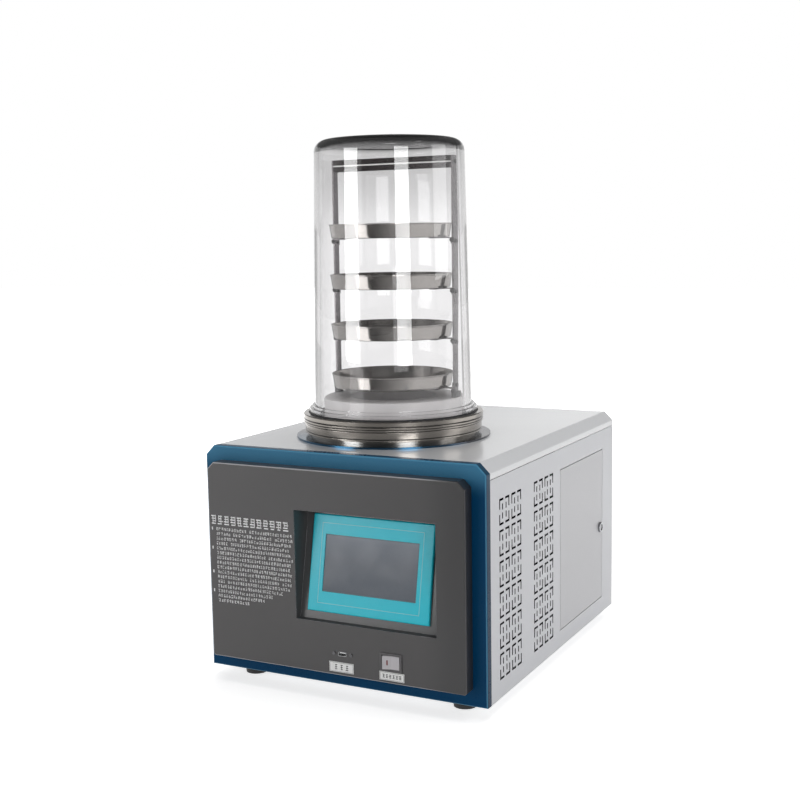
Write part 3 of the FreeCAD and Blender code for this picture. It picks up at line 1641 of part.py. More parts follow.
nodes = {
    "base_pan": base_pan(),
    "side_panel_left": mirrored(side_panel(False)),
    "side_panel_right": side_panel(True),
    "rear_panel": rear_panel(),
    "top_cover": top_cover(),
    "cover_screws": cover_screws(),
    "front_frame": front_frame(),
    "front_panel": front_panel(),
    "screen_recess": screen_recess(),
    "screen_bezel": screen_bezel(),
    "screen_glass": screen_glass(),
    "screen_housing": screen_housing(),
    "data_socket": data_socket(),
    "socket_screws": socket_screws(),
    "switch_housing": switch_housing(),
    "power_rocker": power_rocker(),
    "label_plates": label_plates(),
    "access_door": access_door(),
    "door_brackets": door_brackets(),
    "lock_body": lock_body(),
    "lock_plug": lock_plug(),
    "lock_cam": lock_cam(),
    "lock_strike": lock_strike(),
    "rubber_feet": rubber_feet(),
    "base_screws": base_screws(),
    "seal_plate": seal_plate(),
    "trap_flange": trap_flange(),
    "cold_trap_pot": cold_trap_pot(),
    "evaporator_coil": evaporator_coil(),
    "trap_insulation": trap_insulation(),
    "guide_collar": guide_collar(),
    "seal_ring": seal_ring(),
    "chamber_cover": chamber_cover(),
    "rack_uprights": rack_uprights(),
    "rack_crossbar": rack_crossbar(),
    "rack_feet": rack_feet(),
    "tray_brackets": tray_brackets(),
    "rack_screws": rack_screws(),
    "condenser_coil": condenser_coil(),
    "condenser_fins": condenser_fins(),
    "fan_shroud": fan_shroud(),
    "fan_motor": fan_motor(),
    "fan_rotor": fan_rotor(),
    "compressor": compressor(),
    "compressor_grommets": compressor_grommets(),
    "filter_drier": filter_drier(),
    "refrigerant_pipes": refrigerant_pipes(),
    "electrical_plate": electrical_plate(),
    "control_board": control_board(),
    "power_supply": power_supply(),
    "power_inlet": power_inlet(),
    "pump_outlet": pump_outlet(),
    "vacuum_line": vacuum_line(),
    "drain_line": drain_line(),
    "drain_valve": drain_valve(),
    "drain_lever": drain_lever(),
}
for i, floor_z in enumerate(tray_floors):
    nodes[f"tray_{tray_count - i}"] = tray(floor_z)

shapes = {}
for name, built in nodes.items():
    shapes[name] = Part.makeCompound(built) if isinstance(built, list) else built
whole = Part.makeCompound(list(shapes.values()))
extent = whole.BoundBox
origin_shift = Vector(-extent.Center.x, -extent.Center.y, -extent.ZMin)

os.makedirs("parts", exist_ok=True)
for name, shape in shapes.items():
    placed = shape.copy()
    placed.translate(origin_shift)
    placed.exportStep(f"parts/{name}.step")
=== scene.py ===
import math
import random

import bmesh
import bpy
from mathutils import Matrix, Vector


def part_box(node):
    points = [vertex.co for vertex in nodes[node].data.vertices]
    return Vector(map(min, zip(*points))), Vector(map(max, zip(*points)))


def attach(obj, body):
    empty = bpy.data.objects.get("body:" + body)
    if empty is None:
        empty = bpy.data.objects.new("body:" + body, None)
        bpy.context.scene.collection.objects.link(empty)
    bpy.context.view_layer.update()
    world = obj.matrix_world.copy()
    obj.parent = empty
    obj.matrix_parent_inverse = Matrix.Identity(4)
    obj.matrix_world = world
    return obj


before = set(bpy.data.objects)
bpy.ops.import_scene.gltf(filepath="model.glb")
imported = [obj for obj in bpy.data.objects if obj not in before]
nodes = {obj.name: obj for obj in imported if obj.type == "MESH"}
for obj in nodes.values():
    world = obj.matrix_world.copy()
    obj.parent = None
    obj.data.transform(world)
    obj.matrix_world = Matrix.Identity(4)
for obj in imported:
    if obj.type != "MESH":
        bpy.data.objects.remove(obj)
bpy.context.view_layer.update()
print("frame loaded:", len(nodes), "nodes")


# Camera

view = {
    "place": (0.9637, -1.9747, 0.7185),
    "turn": 27.29,  # degrees
    "down": 7.25,
    "roll": -0.94,
    "lens": 56.8,  # millimetres
    "sensor": 36,
    "shift": (0.0021, -0.0026),
    "clipEnd": 60,
}
eye = bpy.data.cameras.new("benchCamera")
eye.sensor_width = view["sensor"]
eye.lens = view["lens"]
eye.shift_x, eye.shift_y = view["shift"]
eye.clip_end = view["clipEnd"]
camera = bpy.data.objects.new("benchCamera", eye)
bpy.context.scene.collection.objects.link(camera)
camera.matrix_world = (
    Matrix.Translation(view["place"])
    @ Matrix.Rotation(math.radians(view["turn"]), 4, "Z")
    @ Matrix.Rotation(math.radians(90 - view["down"]), 4, "X")
    @ Matrix.Rotation(math.radians(view["roll"]), 4, "Z")
)
bpy.context.scene.camera = camera
bpy.context.scene.view_settings.view_transform = "Standard"


# Lamps

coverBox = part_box("chamber_cover")
trapX = (coverBox[0][0] + coverBox[1][0]) / 2
trapY = (coverBox[0][1] + coverBox[1][1]) / 2
uprights = {  # the two tall softboxes whose bands of light stand in the clear cover
    "left": -121.5,  # bearings round the cover, degrees
    "right": -45,
    "height": 0.86,
    "tall": 1.08,
    "far": 3.2,
    "near": 3.15,  # for the cards just in front of them
}


def roundTheCover(degrees, distance):
    angle = math.radians(degrees)
    return (trapX + distance * math.cos(angle), trapY + distance * math.sin(angle), uprights["height"])


def addLamp(name, look):
    light = bpy.data.lights.new(name, "AREA")
    light.shape = "RECTANGLE"
    light.size, light.size_y = look["size"]
    light.energy = look["power"]
    lamp = bpy.data.objects.new(name, light)
    bpy.context.scene.collection.objects.link(lamp)
    lamp.location = look["place"]
    aim = Vector(look["aim"]) - Vector(look["place"])
    lamp.rotation_euler = aim.to_track_quat("-Z", "Y").to_euler()
    lamp.visible_camera = False
    lamp.visible_transmission = False
    lamp.visible_diffuse = not look.get("sheenOnly", False)
    lamp.visible_glossy = not look.get("softOnly", False)


coverMiddle = (trapX, trapY, uprights["height"])
leftSoftbox = {
    "place": roundTheCover(uprights["left"], uprights["far"]), "aim": coverMiddle,
    "size": (1.25, uprights["tall"]), "power": 13,
}
rightSoftbox = {
    "place": roundTheCover(uprights["right"], uprights["far"]), "aim": coverMiddle,
    "size": (1.15, uprights["tall"]), "power": 15,
}
lamps = {
    "leftSoftbox": leftSoftbox,
    "rightSoftbox": rightSoftbox,
    "sideSoftbox": {"place": (3.2, 0.9, 1.3), "aim": (0.2, 0, 0.2), "size": (1.6, 1.4), "power": 17},
    "topSoftbox": {
        "place": (0.0, 0.2, 3.0), "aim": (0, 0, 0.3), "size": (2.4, 2.4), "power": 38, "softOnly": True,
    },
    "rearSoftbox": {
        "place": (-1.8, 3.0, 1.9), "aim": (0, 0, 0.35), "size": (1.8, 1.4), "power": 34, "softOnly": True,
    },
    # two cards that only polished surfaces see
    "leftCard": {
        **leftSoftbox, "place": roundTheCover(uprights["left"], uprights["near"]), "power": 27, "sheenOnly": True,
    },
    "rightCard": {
        **rightSoftbox, "place": roundTheCover(uprights["right"], uprights["near"]), "power": 22, "sheenOnly": True,
    },
}
for name, look in lamps.items():
    addLamp(name, look)
print("camera and lamps up")


# Short ways to write nodes

def addNode(tree, kind, inputs=None, **settings):
    node = tree.nodes.new(kind)
    for key, value in settings.items():
        setattr(node, key, value)
    for key, value in (inputs or {}).items():
        if isinstance(value, bpy.types.NodeSocket):
            tree.links.new(value, node.inputs[key])
        else:
            node.inputs[key].default_value = value
    return node


def figure(tree, operation, a, b=0.0, clamp=False):
    return addNode(tree, "ShaderNodeMath", {0: a, 1: b}, operation=operation, use_clamp=clamp).outputs[0]


def times(tree, a, b):
    return figure(tree, "MULTIPLY", a, b)


def rescale(tree, value, low, high, outLow=0.0, outHigh=1.0, kind="LINEAR"):
    inputs = {"Value": value, "From Min": low, "From Max": high, "To Min": outLow, "To Max": outHigh}
    return addNode(tree, "ShaderNodeMapRange", inputs, interpolation_type=kind).outputs[0]


def easeOver(tree, value, low, high, outLow=0.0, outHigh=1.0):
    return rescale(tree, value, low, high, outLow, outHigh, "SMOOTHSTEP")


def mixLevels(tree, share, a, b):
    return addNode(tree, "ShaderNodeMix", {0: share, 2: a, 3: b}).outputs[0]


def mixShades(tree, share, a, b):
    return addNode(tree, "ShaderNodeMix", {0: share, 6: a, 7: b}, data_type="RGBA").outputs[2]


def onAxis(tree, vector, axis):
    return addNode(tree, "ShaderNodeSeparateXYZ", {0: vector}).outputs[axis]


def vectorStep(tree, operation, a, b=None, result=0):
    inputs = {0: a} if b is None else {0: a, 1: b}
    return addNode(tree, "ShaderNodeVectorMath", inputs, operation=operation).outputs[result]


def newMaterial(name):
    material = bpy.data.materials.new(name)
    material.use_nodes = True
    material.node_tree.nodes.clear()
    return material, material.node_tree


def writeMesh(name, build):
    mesh = bpy.data.meshes.new(name)
    build.to_mesh(mesh)
    build.free()
    return mesh


# Room round the object

room = {
    "away": (-0.458, 0.889, 0.0),  # level direction from the camera past the object
    "fill": 0.26,  # light on matt surfaces
    # what bare metal sees, from the dark room in front round to the white backdrop
    "front": 0.06,
    "walls": 0.42,
    "wallSpan": (-0.95, -0.2),
    "backdrop": 1.0,
    "backSpan": (-0.1, 0.45),
    "loft": 0.2,
    "loftSpan": (0.18, 0.28),  # rise of a ray where the backdrop gives way to the loft
    # what shows through the clear cover, straight behind it and bent off to the sides
    "beyond": ((-180, 0.8), (-60, 0.95), (60, 1.02), (138, 1.0), (172, 0.8), (180, 0.8)),
    "beyondLevels": (0.8, 1.2),  # over the horizon, and under it and on the floor
    "beyondSpan": (0.05, -0.005),
    "ceiling": 0.025,
    "ceilingSpan": (0.1, 0.4),
    # what the trays and the cover's inner wall mirror: (bearing in degrees, brightness)
    "nearby": (
        (-180, 0.6), (-131, 0.6), (-128.5, 2.4), (-108, 2.2), (-106.5, 0.02), (-94, 0.03), (-64, 0.26),
        (-45, 0.45), (-20, 0.85), (40, 0.85), (85, 0.75), (100, 0.05), (135, 0.05), (150, 0.6), (180, 0.6),
    ),
    "raised": (
        (-180, 0.6), (-131, 0.6), (-128.5, 1.8), (-108, 1.8), (-106.5, 0.04), (-96, 0.04),
        (-64, 0.35), (-20, 0.8), (180, 0.7),
    ),
    "farOff": (
        (-180, 0.85), (-135, 0.35), (-133, 3.2), (-112, 3.2), (-110, 0.16), (-61, 0.16), (-59.5, 3.2), (-40, 3.2),
        (-38.5, 0.25), (-10, 0.8), (60, 1.0), (85, 1.0), (100, 0.05), (135, 0.05), (150, 0.9), (180, 0.85),
    ),
    "farFrom": 7.4,  # metres out, where the floor changes from nearby to farOff
    "farTop": 0.012,  # rise of a ray where farOff gives way to raised
    "mirrorSpan": (0.02, 0.16),  # and where raised gives way to the ceiling
    "oneBounce": 0.5,  # mirrored rays count more glossy bounces than this
}


def ringLevel(tree, place, stops):
    # brightness by bearing round the object
    bearing = figure(tree, "ARCTAN2", onAxis(tree, place, "Y"), onAxis(tree, place, "X"))
    top = max(level for degrees, level in stops)
    ramp = addNode(tree, "ShaderNodeValToRGB", {"Fac": rescale(tree, bearing, -math.pi, math.pi)})
    while len(ramp.color_ramp.elements) < len(stops):
        ramp.color_ramp.elements.new(1.0)
    for element, (degrees, level) in zip(ramp.color_ramp.elements, stops):
        element.position = (degrees + 180) / 360
        element.color = (level / top, level / top, level / top, 1)
    return times(tree, ramp.outputs["Color"], top)


world = bpy.data.worlds.new("studioRoom")
bpy.context.scene.world = world
world.use_nodes = True
tree = world.node_tree
tree.nodes.clear()
heading = addNode(tree, "ShaderNodeTexCoord").outputs["Generated"]
rays = addNode(tree, "ShaderNodeLightPath").outputs
rise = onAxis(tree, heading, "Z")
towards = vectorStep(tree, "DOT_PRODUCT", heading, room["away"], "Value")

sides = easeOver(tree, towards, *room["wallSpan"], room["front"], room["walls"])
behind = mixLevels(tree, easeOver(tree, towards, *room["backSpan"]), sides, room["backdrop"])
inMetal = mixLevels(tree, easeOver(tree, rise, *room["loftSpan"]), behind, room["loft"])

straight = easeOver(tree, rise, *room["beyondSpan"], *room["beyondLevels"])
straight = times(tree, straight, ringLevel(tree, heading, room["beyond"]))
straight = mixLevels(tree, easeOver(tree, rise, *room["ceilingSpan"]), straight, room["ceiling"])

raised, farOff = ringLevel(tree, heading, room["raised"]), ringLevel(tree, heading, room["farOff"])
mirrored = mixLevels(tree, figure(tree, "LESS_THAN", rise, room["farTop"]), raised, farOff)
mirrored = mixLevels(tree, easeOver(tree, rise, *room["mirrorSpan"]), mirrored, room["ceiling"])

bounced = figure(tree, "GREATER_THAN", rays["Glossy Depth"], room["oneBounce"])
inClear = mixLevels(tree, bounced, straight, mirrored)
level = mixLevels(tree, rays["Is Glossy Ray"], room["fill"], inMetal)
level = mixLevels(tree, rays["Is Transmission Ray"], level, inClear)
level = mixLevels(tree, rays["Is Camera Ray"], level, room["backdrop"])
sky = addNode(tree, "ShaderNodeBackground", {"Color": (1, 1, 1, 1), "Strength": level})
addNode(tree, "ShaderNodeOutputWorld", {0: sky.outputs[0]})


# Floor

floorLook = {
    "half": 14.0,
    "cuts": 12,
    "shade": 0.8,
    "glow": 0.66,  # near the object, so that its shadow stays; full further out
    "glowSpan": (0.75, 1.5),
    "sweep": (-1.3, -0.5),  # depths between which polished surfaces begin to see the white floor
}
build = bmesh.new()
bmesh.ops.create_grid(build, x_segments=floorLook["cuts"], y_segments=floorLook["cuts"], size=floorLook["half"])
floorMesh = writeMesh("studioFloor", build)
floor = bpy.data.objects.new("studioFloor", floorMesh)
bpy.context.scene.collection.objects.link(floor)
floorPaint, tree = newMaterial("paleFloor")
rays = addNode(tree, "ShaderNodeLightPath").outputs
spot = addNode(tree, "ShaderNodeTexCoord").outputs["Object"]
fromMiddle = vectorStep(tree, "LENGTH", spot, result="Value")
fromTrap = vectorStep(tree, "SUBTRACT", spot, (trapX, trapY, 0))
clearRay = rays["Is Transmission Ray"]
notClear = figure(tree, "SUBTRACT", 1.0, clearRay)

depth = vectorStep(tree, "DOT_PRODUCT", spot, room["away"], "Value")
inMetal = times(tree, times(tree, rays["Is Glossy Ray"], notClear), easeOver(tree, depth, *floorLook["sweep"]))
seen = figure(tree, "ADD", rays["Is Camera Ray"], inMetal)
seen = times(tree, seen, easeOver(tree, fromMiddle, *floorLook["glowSpan"], floorLook["glow"], 1.0))

unbounced = figure(tree, "LESS_THAN", rays["Glossy Depth"], room["oneBounce"])
straight = times(tree, clearRay, unbounced)
beyond = times(tree, ringLevel(tree, fromTrap, room["beyond"]), room["beyondLevels"][1])
nearby, farOff = ringLevel(tree, fromTrap, room["nearby"]), ringLevel(tree, fromTrap, room["farOff"])
ring = mixLevels(tree, figure(tree, "GREATER_THAN", fromMiddle, room["farFrom"]), nearby, farOff)
mirrored = times(tree, figure(tree, "SUBTRACT", clearRay, straight), ring)
inClear = figure(tree, "ADD", mirrored, times(tree, straight, beyond))

strength = figure(tree, "ADD", seen, inClear)
glow = addNode(tree, "ShaderNodeEmission", {"Color": (1, 1, 1, 1), "Strength": strength})
matt = addNode(tree, "ShaderNodeBsdfDiffuse", {"Color": times(tree, notClear, floorLook["shade"])})
both = addNode(tree, "ShaderNodeAddShader", {0: matt.outputs[0], 1: glow.outputs[0]})
addNode(tree, "ShaderNodeOutputMaterial", {0: both.outputs[0]})
floorMesh.materials.append(floorPaint)
print("room and floor ready")


# Finishes

plainFinish = {
    "shade": (128, 128, 128),  # 0 to 255
    "drift": 0.05,  # how far the colour wanders
    "driftSize": 7.0,  # patches per metre
    "metal": 0.0,
    "rough": 0.45,
    "roughDrift": 0.08,
    "texture": "peel",
    "grain": 600.0,  # fine texture, per metre
    "stretch": (1, 1, 1),
    "depth": 0.00003,  # of the fine texture, metres
    "edge": 0.0006,  # edge rounding, metres
    "wornAndSheen": None,  # colour of rubbed edges, and of the painted highlight along bends and shoulders
    "wornShare": 0.5,
    "coat": 0.0,
    "coatRough": 0.08,
    "specular": 0.5,
    "brushed": 0.0,
    "bends": 0.0,  # painted highlight along the bends round a front face
    "shoulders": 0.0,  # painted highlight along the sloping shoulders of a top
    "returns": 0.0,  # painted shade on everything turned away from the front
    "grooves": (),  # heights of turned grooves
    "paintedSlotShadow": None,  # painted shadow: faces of a side sheet that are not turned sideways, mostly its vent slots' walls, go near black in front of this depth
    "film": None,  # painted light and shade: a second shade that comes in along one axis, standing for a reflection
    "dust": 0.0,
    "dustShade": (176, 172, 164),
}
everyFinish = {
    "patchSpan": (0.3, 0.7),
    "fineSpan": (0.2, 0.8),
    "fineShare": 0.35,
    "fineDarker": 2.2,  # times the drift
    "cornerSpan": (0.995, 0.86),  # how far the rounded normal leans off the flat one
    "rubSize": 55.0,
    "rubSpan": (0.42, 0.62),
    "rubLeast": 0.35,
    "wornPaler": 1.5,  # where a finish names no worn colour
    "leanSpan": (0.3, 0.55),  # a bend or a shoulder is neither edge on
    "flatSpan": (0.985, 0.93),  # nor square on
    "turnedSpan": (0.5, 0.2),
    "turnedDarker": 0.3,
    "groove": (0.0011, 0.0004),  # half widths at its lip and its bottom, metres
    "grooveShade": (20, 20, 22),
    "grooveShare": 0.85,
    "grooveDepth": 30.0,  # times the fine texture's
    "dustSpan": (0.4, 1.0),
    "dustPatches": (0.35, 0.7),
    "slotShadowShade": (6, 6, 7),
    "slotWallLean": 0.5,
}
hammered = {"coarse": 0.35, "speck": 1.4, "coarseShare": 0.4, "speckShare": 0.6}  # sizes as shares of the grain


def tint(shade, factor=1.0):
    level = [c / 255 for c in shade]
    linear = [c / 12.92 if c < 0.04045 else ((c + 0.055) / 1.055) ** 2.4 for c in level]
    return tuple(min(1.0, c * factor) for c in linear) + (1.0,)


def noiseOf(tree, coords, scale, detail=3.0, ragged=0.55):
    inputs = {"Vector": coords, "Scale": scale, "Detail": detail, "Roughness": ragged}
    return addNode(tree, "ShaderNodeTexNoise", inputs).outputs[0]


def latheCoords(tree, coords):
    # distance from the trap's axis and height, so marks run round the axis
    moved = vectorStep(tree, "SUBTRACT", coords, (trapX, trapY, 0))
    radius = vectorStep(tree, "LENGTH", vectorStep(tree, "MULTIPLY", moved, (1, 1, 0)), result="Value")
    spread = {"X": radius, "Y": 0.0, "Z": onAxis(tree, coords, "Z")}
    return addNode(tree, "ShaderNodeCombineXYZ", spread).outputs[0]


def fineTexture(tree, coords, look):
    kind, grain = look["texture"], look["grain"]
    if kind == "spangle":
        flakes = addNode(tree, "ShaderNodeTexVoronoi", {"Vector": coords, "Scale": grain}, feature="F1")
        return flakes.outputs["Color"]
    if kind == "cells":
        cells = addNode(tree, "ShaderNodeTexVoronoi", {"Vector": coords, "Scale": grain}, feature="SMOOTH_F1")
        return cells.outputs["Distance"]
    if kind == "turned":
        return noiseOf(tree, latheCoords(tree, coords), grain, detail=2.0)
    if kind == "brushed":
        spread = addNode(tree, "ShaderNodeMapping", {"Vector": coords, "Scale": look["stretch"]}).outputs[0]
        return noiseOf(tree, spread, grain)
    if kind == "hammered":
        coarse = noiseOf(tree, coords, grain * hammered["coarse"], detail=2.0)
        speck = noiseOf(tree, coords, grain * hammered["speck"], detail=2.0, ragged=0.7)
        coarse, speck = times(tree, coarse, hammered["coarseShare"]), times(tree, speck, hammered["speckShare"])
        return figure(tree, "ADD", coarse, speck)
    return noiseOf(tree, coords, grain, detail=2.0)


def leaningFaces(tree, facing, axis):
    lean = figure(tree, "ABSOLUTE", onAxis(tree, facing, axis))
    return times(tree, rescale(tree, lean, *everyFinish["leanSpan"]), rescale(tree, lean, *everyFinish["flatSpan"]))


def grooveCuts(tree, coords, heights):
    level = onAxis(tree, coords, "Z")
    cuts = None
    for height in heights:
        apart = figure(tree, "ABSOLUTE", figure(tree, "SUBTRACT", level, height))
        cut = rescale(tree, apart, *everyFinish["groove"])
        cuts = cut if cuts is None else figure(tree, "MAXIMUM", cuts, cut)
    return cuts


def makeFinish(name, look):
    look = {**plainFinish, **look}
    fixed = everyFinish
    material, tree = newMaterial(name)
    coords = addNode(tree, "ShaderNodeTexCoord").outputs["Object"]
    facing = addNode(tree, "ShaderNodeNewGeometry").outputs["Normal"]
    eased = addNode(tree, "ShaderNodeBevel", {"Radius": look["edge"]}, samples=3).outputs[0]
    shade, drift = look["shade"], look["drift"]

    patches = noiseOf(tree, coords, look["driftSize"], detail=4.0)
    patchy = rescale(tree, patches, *fixed["patchSpan"])
    colour = mixShades(tree, patchy, tint(shade, 1 - drift), tint(shade, 1 + drift))
    fine = fineTexture(tree, coords, look)
    speckle = rescale(tree, fine, *fixed["fineSpan"], 0.0, fixed["fineShare"])
    colour = mixShades(tree, speckle, colour, tint(shade, 1 - fixed["fineDarker"] * drift))

    # rubbed edges
    corner = rescale(tree, vectorStep(tree, "DOT_PRODUCT", eased, facing, "Value"), *fixed["cornerSpan"])
    rubs = noiseOf(tree, coords, fixed["rubSize"], detail=4.0, ragged=0.7)
    rubs = rescale(tree, rubs, *fixed["rubSpan"])
    rubs = rescale(tree, rubs, 0, 1, look["wornShare"] * fixed["rubLeast"], look["wornShare"])
    wornAndSheen = tint(look["wornAndSheen"]) if look["wornAndSheen"] else tint(shade, fixed["wornPaler"])
    colour = mixShades(tree, figure(tree, "MULTIPLY", corner, rubs, clamp=True), colour, wornAndSheen)
    # painted highlight along bends and shoulders, in the same colour as the rubbed edges
    for share, axis in ((look["bends"], "Y"), (look["shoulders"], "Z")):
        if share:
            colour = mixShades(tree, times(tree, leaningFaces(tree, facing, axis), share), colour, wornAndSheen)

    height, gleam = fine, look["specular"]
    if look["grooves"]:
        cuts = grooveCuts(tree, coords, look["grooves"])
        colour = mixShades(tree, times(tree, cuts, fixed["grooveShare"]), colour, tint(fixed["grooveShade"]))
        height = figure(tree, "SUBTRACT", fine, times(tree, cuts, fixed["grooveDepth"]))
    if look["dust"]:
        lying = rescale(tree, onAxis(tree, facing, "Z"), *fixed["dustSpan"])
        lying = times(tree, lying, rescale(tree, patches, *fixed["dustPatches"]))
        colour = mixShades(tree, times(tree, lying, look["dust"]), colour, tint(look["dustShade"]))
    # painted light and shade that comes in along one axis
    if look["film"]:
        film = look["film"]
        share = easeOver(tree, onAxis(tree, coords, film["axis"]), *film["span"], 0.0, film["share"])
        colour = mixShades(tree, share, colour, tint(film["shade"]))
    # painted shade on faces turned away from the front
    if look["returns"]:
        turned = rescale(tree, figure(tree, "ABSOLUTE", onAxis(tree, facing, "Y")), *fixed["turnedSpan"])
        colour = mixShades(tree, times(tree, turned, look["returns"]), colour, tint(shade, fixed["turnedDarker"]))
    # painted shadow in the vent slots: near black and without gloss
    if look["paintedSlotShadow"] is not None:
        sideways = figure(tree, "ABSOLUTE", onAxis(tree, facing, "X"))
        inFront = figure(tree, "LESS_THAN", onAxis(tree, coords, "Y"), look["paintedSlotShadow"])
        slotShadow = times(tree, figure(tree, "LESS_THAN", sideways, fixed["slotWallLean"]), inFront)
        colour = mixShades(tree, slotShadow, colour, tint(fixed["slotShadowShade"]))
        gleam = rescale(tree, slotShadow, 0, 1, look["specular"], 0.0)

    # roughness follows the fine texture and the patches, half and half
    mixed = figure(tree, "ADD", times(tree, fine, 0.5), times(tree, patches, 0.5))
    low, high = look["rough"] - look["roughDrift"], look["rough"] + look["roughDrift"]
    rough = rescale(tree, mixed, *fixed["patchSpan"], low, high)
    relief = {"Strength": 1.0, "Distance": look["depth"], "Height": height, "Normal": eased}
    skin = addNode(tree, "ShaderNodeBsdfPrincipled", {
        "Base Color": colour, "Metallic": look["metal"], "Roughness": rough,
        "Normal": addNode(tree, "ShaderNodeBump", relief).outputs[0],
        "Coat Weight": look["coat"], "Coat Roughness": look["coatRough"],
        "Specular IOR Level": gleam, "Anisotropic": look["brushed"],
    })
    addNode(tree, "ShaderNodeOutputMaterial", {0: skin.outputs[0]})
    return material


def dress(material, *names):
    for name in names:
        slots = nodes[name].data.materials
        if not slots:
            slots.append(material)
        for i in range(len(slots)):
            slots[i] = material


# New pieces and flat marks: each bar is (left, right, low, high) in the face's own metres

def addPiece(name, mesh, material, body):
    piece = bpy.data.objects.new(name, mesh)
    bpy.context.scene.collection.objects.link(piece)
    mesh.materials.append(material)
    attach(piece, body)


barShape = {
    "corner": 0.25,  # cut off each corner, as a share of the shorter side
    "slope": 0.25,  # how far the two ends lean in, as a share of the thickness
}


def inkMesh(name, bars, place, across, upward, thick):
    across, upward, place = Vector(across), Vector(upward), Vector(place)
    outward = across.cross(upward).normalized()
    slope = barShape["slope"] * thick
    build = bmesh.new()
    for left, right, low, high in bars:
        cut = barShape["corner"] * min(right - left, high - low)
        outline = [
            (left + cut, low), (right - cut, low), (right, low + cut), (right, high - cut),
            (right - cut, high), (left + cut, high), (left, high - cut), (left, low + cut),
        ]
        base, top = [], []
        for u, v in outline:
            inward = slope if u < (left + right) / 2 else -slope
            base.append(build.verts.new(place + across * u + upward * v))
            top.append(build.verts.new(place + across * (u + inward) + upward * v + outward * thick))
        build.faces.new(top)
        for i in range(len(outline)):
            j = (i + 1) % len(outline)
            build.faces.new((base[i], base[j], top[j], top[i]))
    build.normal_update()
    return writeMesh(name, build)


def frameBars(halfWide, halfTall, line):
    # four strips that make a rectangle's outline
    return [
        (-halfWide, halfWide, halfTall - line, halfTall), (-halfWide, halfWide, -halfTall, -halfTall + line),
        (-halfWide, -halfWide + line, -halfTall, halfTall), (halfWide - line, halfWide, -halfTall, halfTall),
    ]


# Cabinet sheet metal

cabinetPaint = {
    "shade": (203, 205, 209), "drift": 0.025, "driftSize": 5.0, "rough": 0.36, "roughDrift": 0.05,
    "grain": 420.0, "depth": 0.000003, "edge": 0.0012, "wornAndSheen": (226, 227, 230), "wornShare": 0.55, "specular": 0.4,
}
dress(makeFinish("silverPaint", cabinetPaint), "rear_panel")
# painted light: the top is darker at its left end and paler towards the right, with a painted highlight on its
# shoulders
topPaint = {
    **cabinetPaint, "shade": (178, 180, 183), "rough": 0.2, "specular": 0.6, "coat": 0.3, "coatRough": 0.14,
    "shoulders": 0.9, "film": {"axis": "X", "span": (-0.08, 0.2), "shade": (228, 229, 231), "share": 0.8},
}
dress(makeFinish("topPaint", topPaint), "top_cover")
# paler copy of the cabinet paint: painted light on the side sheets
sidePaint = {**cabinetPaint, "shade": (213, 214, 218), "paintedSlotShadow": -0.02}
dress(makeFinish("sidePaint", sidePaint), "side_panel_left", "side_panel_right")
# darker copy on the door: painted shade standing for a dark reflection
doorPaint = {**cabinetPaint, "shade": (200, 200, 203)}
dress(makeFinish("doorPaint", doorPaint), "access_door")

# painted reflection: the band over the panel is paler towards the top
blueFade = {"underPanel": 0.03, "underTop": 0.004}
blueBand = (
    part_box("front_panel")[1][2] - blueFade["underPanel"],
    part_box("front_frame")[1][2] - blueFade["underTop"],
)
# painted highlight along the blue frame's bends and painted shade on its returns
bluePaint = {
    "shade": (2, 66, 106), "drift": 0.05, "driftSize": 6.0, "rough": 0.3, "grain": 380.0, "depth": 0.000003,
    "edge": 0.0009, "wornAndSheen": (104, 164, 196), "wornShare": 0.3, "specular": 0.08, "bends": 0.6, "returns": 0.8,
    "film": {"axis": "Z", "span": blueBand, "shade": (80, 146, 182), "share": 0.74},
}
dress(makeFinish("bluePaint", bluePaint), "front_frame")

zincSteel = {
    "shade": (158, 160, 164), "drift": 0.07, "driftSize": 22.0, "metal": 1.0, "rough": 0.38, "roughDrift": 0.1,
    "texture": "spangle", "grain": 95.0, "depth": 0.000006, "edge": 0.0005, "wornAndSheen": (205, 206, 208), "dust": 0.25,
}
dress(makeFinish("zincSheet", zincSteel), "base_pan", "electrical_plate", "door_brackets", "lock_strike")
zincFixing = {**zincSteel, "shade": (178, 179, 180), "grain": 500.0, "rough": 0.28, "edge": 0.0003, "dust": 0.0}
dress(makeFinish("zincFixing", zincFixing), "base_screws", "cover_screws", "lock_cam", "data_socket")
darkFixing = {**zincFixing, "shade": (92, 92, 94), "wornAndSheen": (190, 190, 192), "wornShare": 0.8}
dress(makeFinish("darkFixing", darkFixing), "socket_screws")
print("cabinet painted")


# Front panel and its printed steps

# painted shade: the panel darkens towards its right end; its bends carry a painted highlight
panelPaint = {
    "shade": (60, 58, 59), "drift": 0.08, "driftSize": 6.0, "rough": 0.42, "roughDrift": 0.1,
    "texture": "hammered", "grain": 1500.0, "depth": 0.00004, "edge": 0.0011,
    "wornAndSheen": (178, 178, 182), "wornShare": 0.9, "coat": 0.25, "coatRough": 0.12, "bends": 0.9,
    "film": {"axis": "X", "span": (0.14, 0.21), "shade": (36, 35, 37), "share": 0.95},
}
dress(makeFinish("texturedPanelPaint", panelPaint), "front_panel")
# paler copy of the panel paint: painted light in the recess, which also takes the panel's painted shade and highlight
recessPaint = {**panelPaint, "shade": (74, 75, 76)}
dress(makeFinish("recessPaint", recessPaint), "screen_recess")

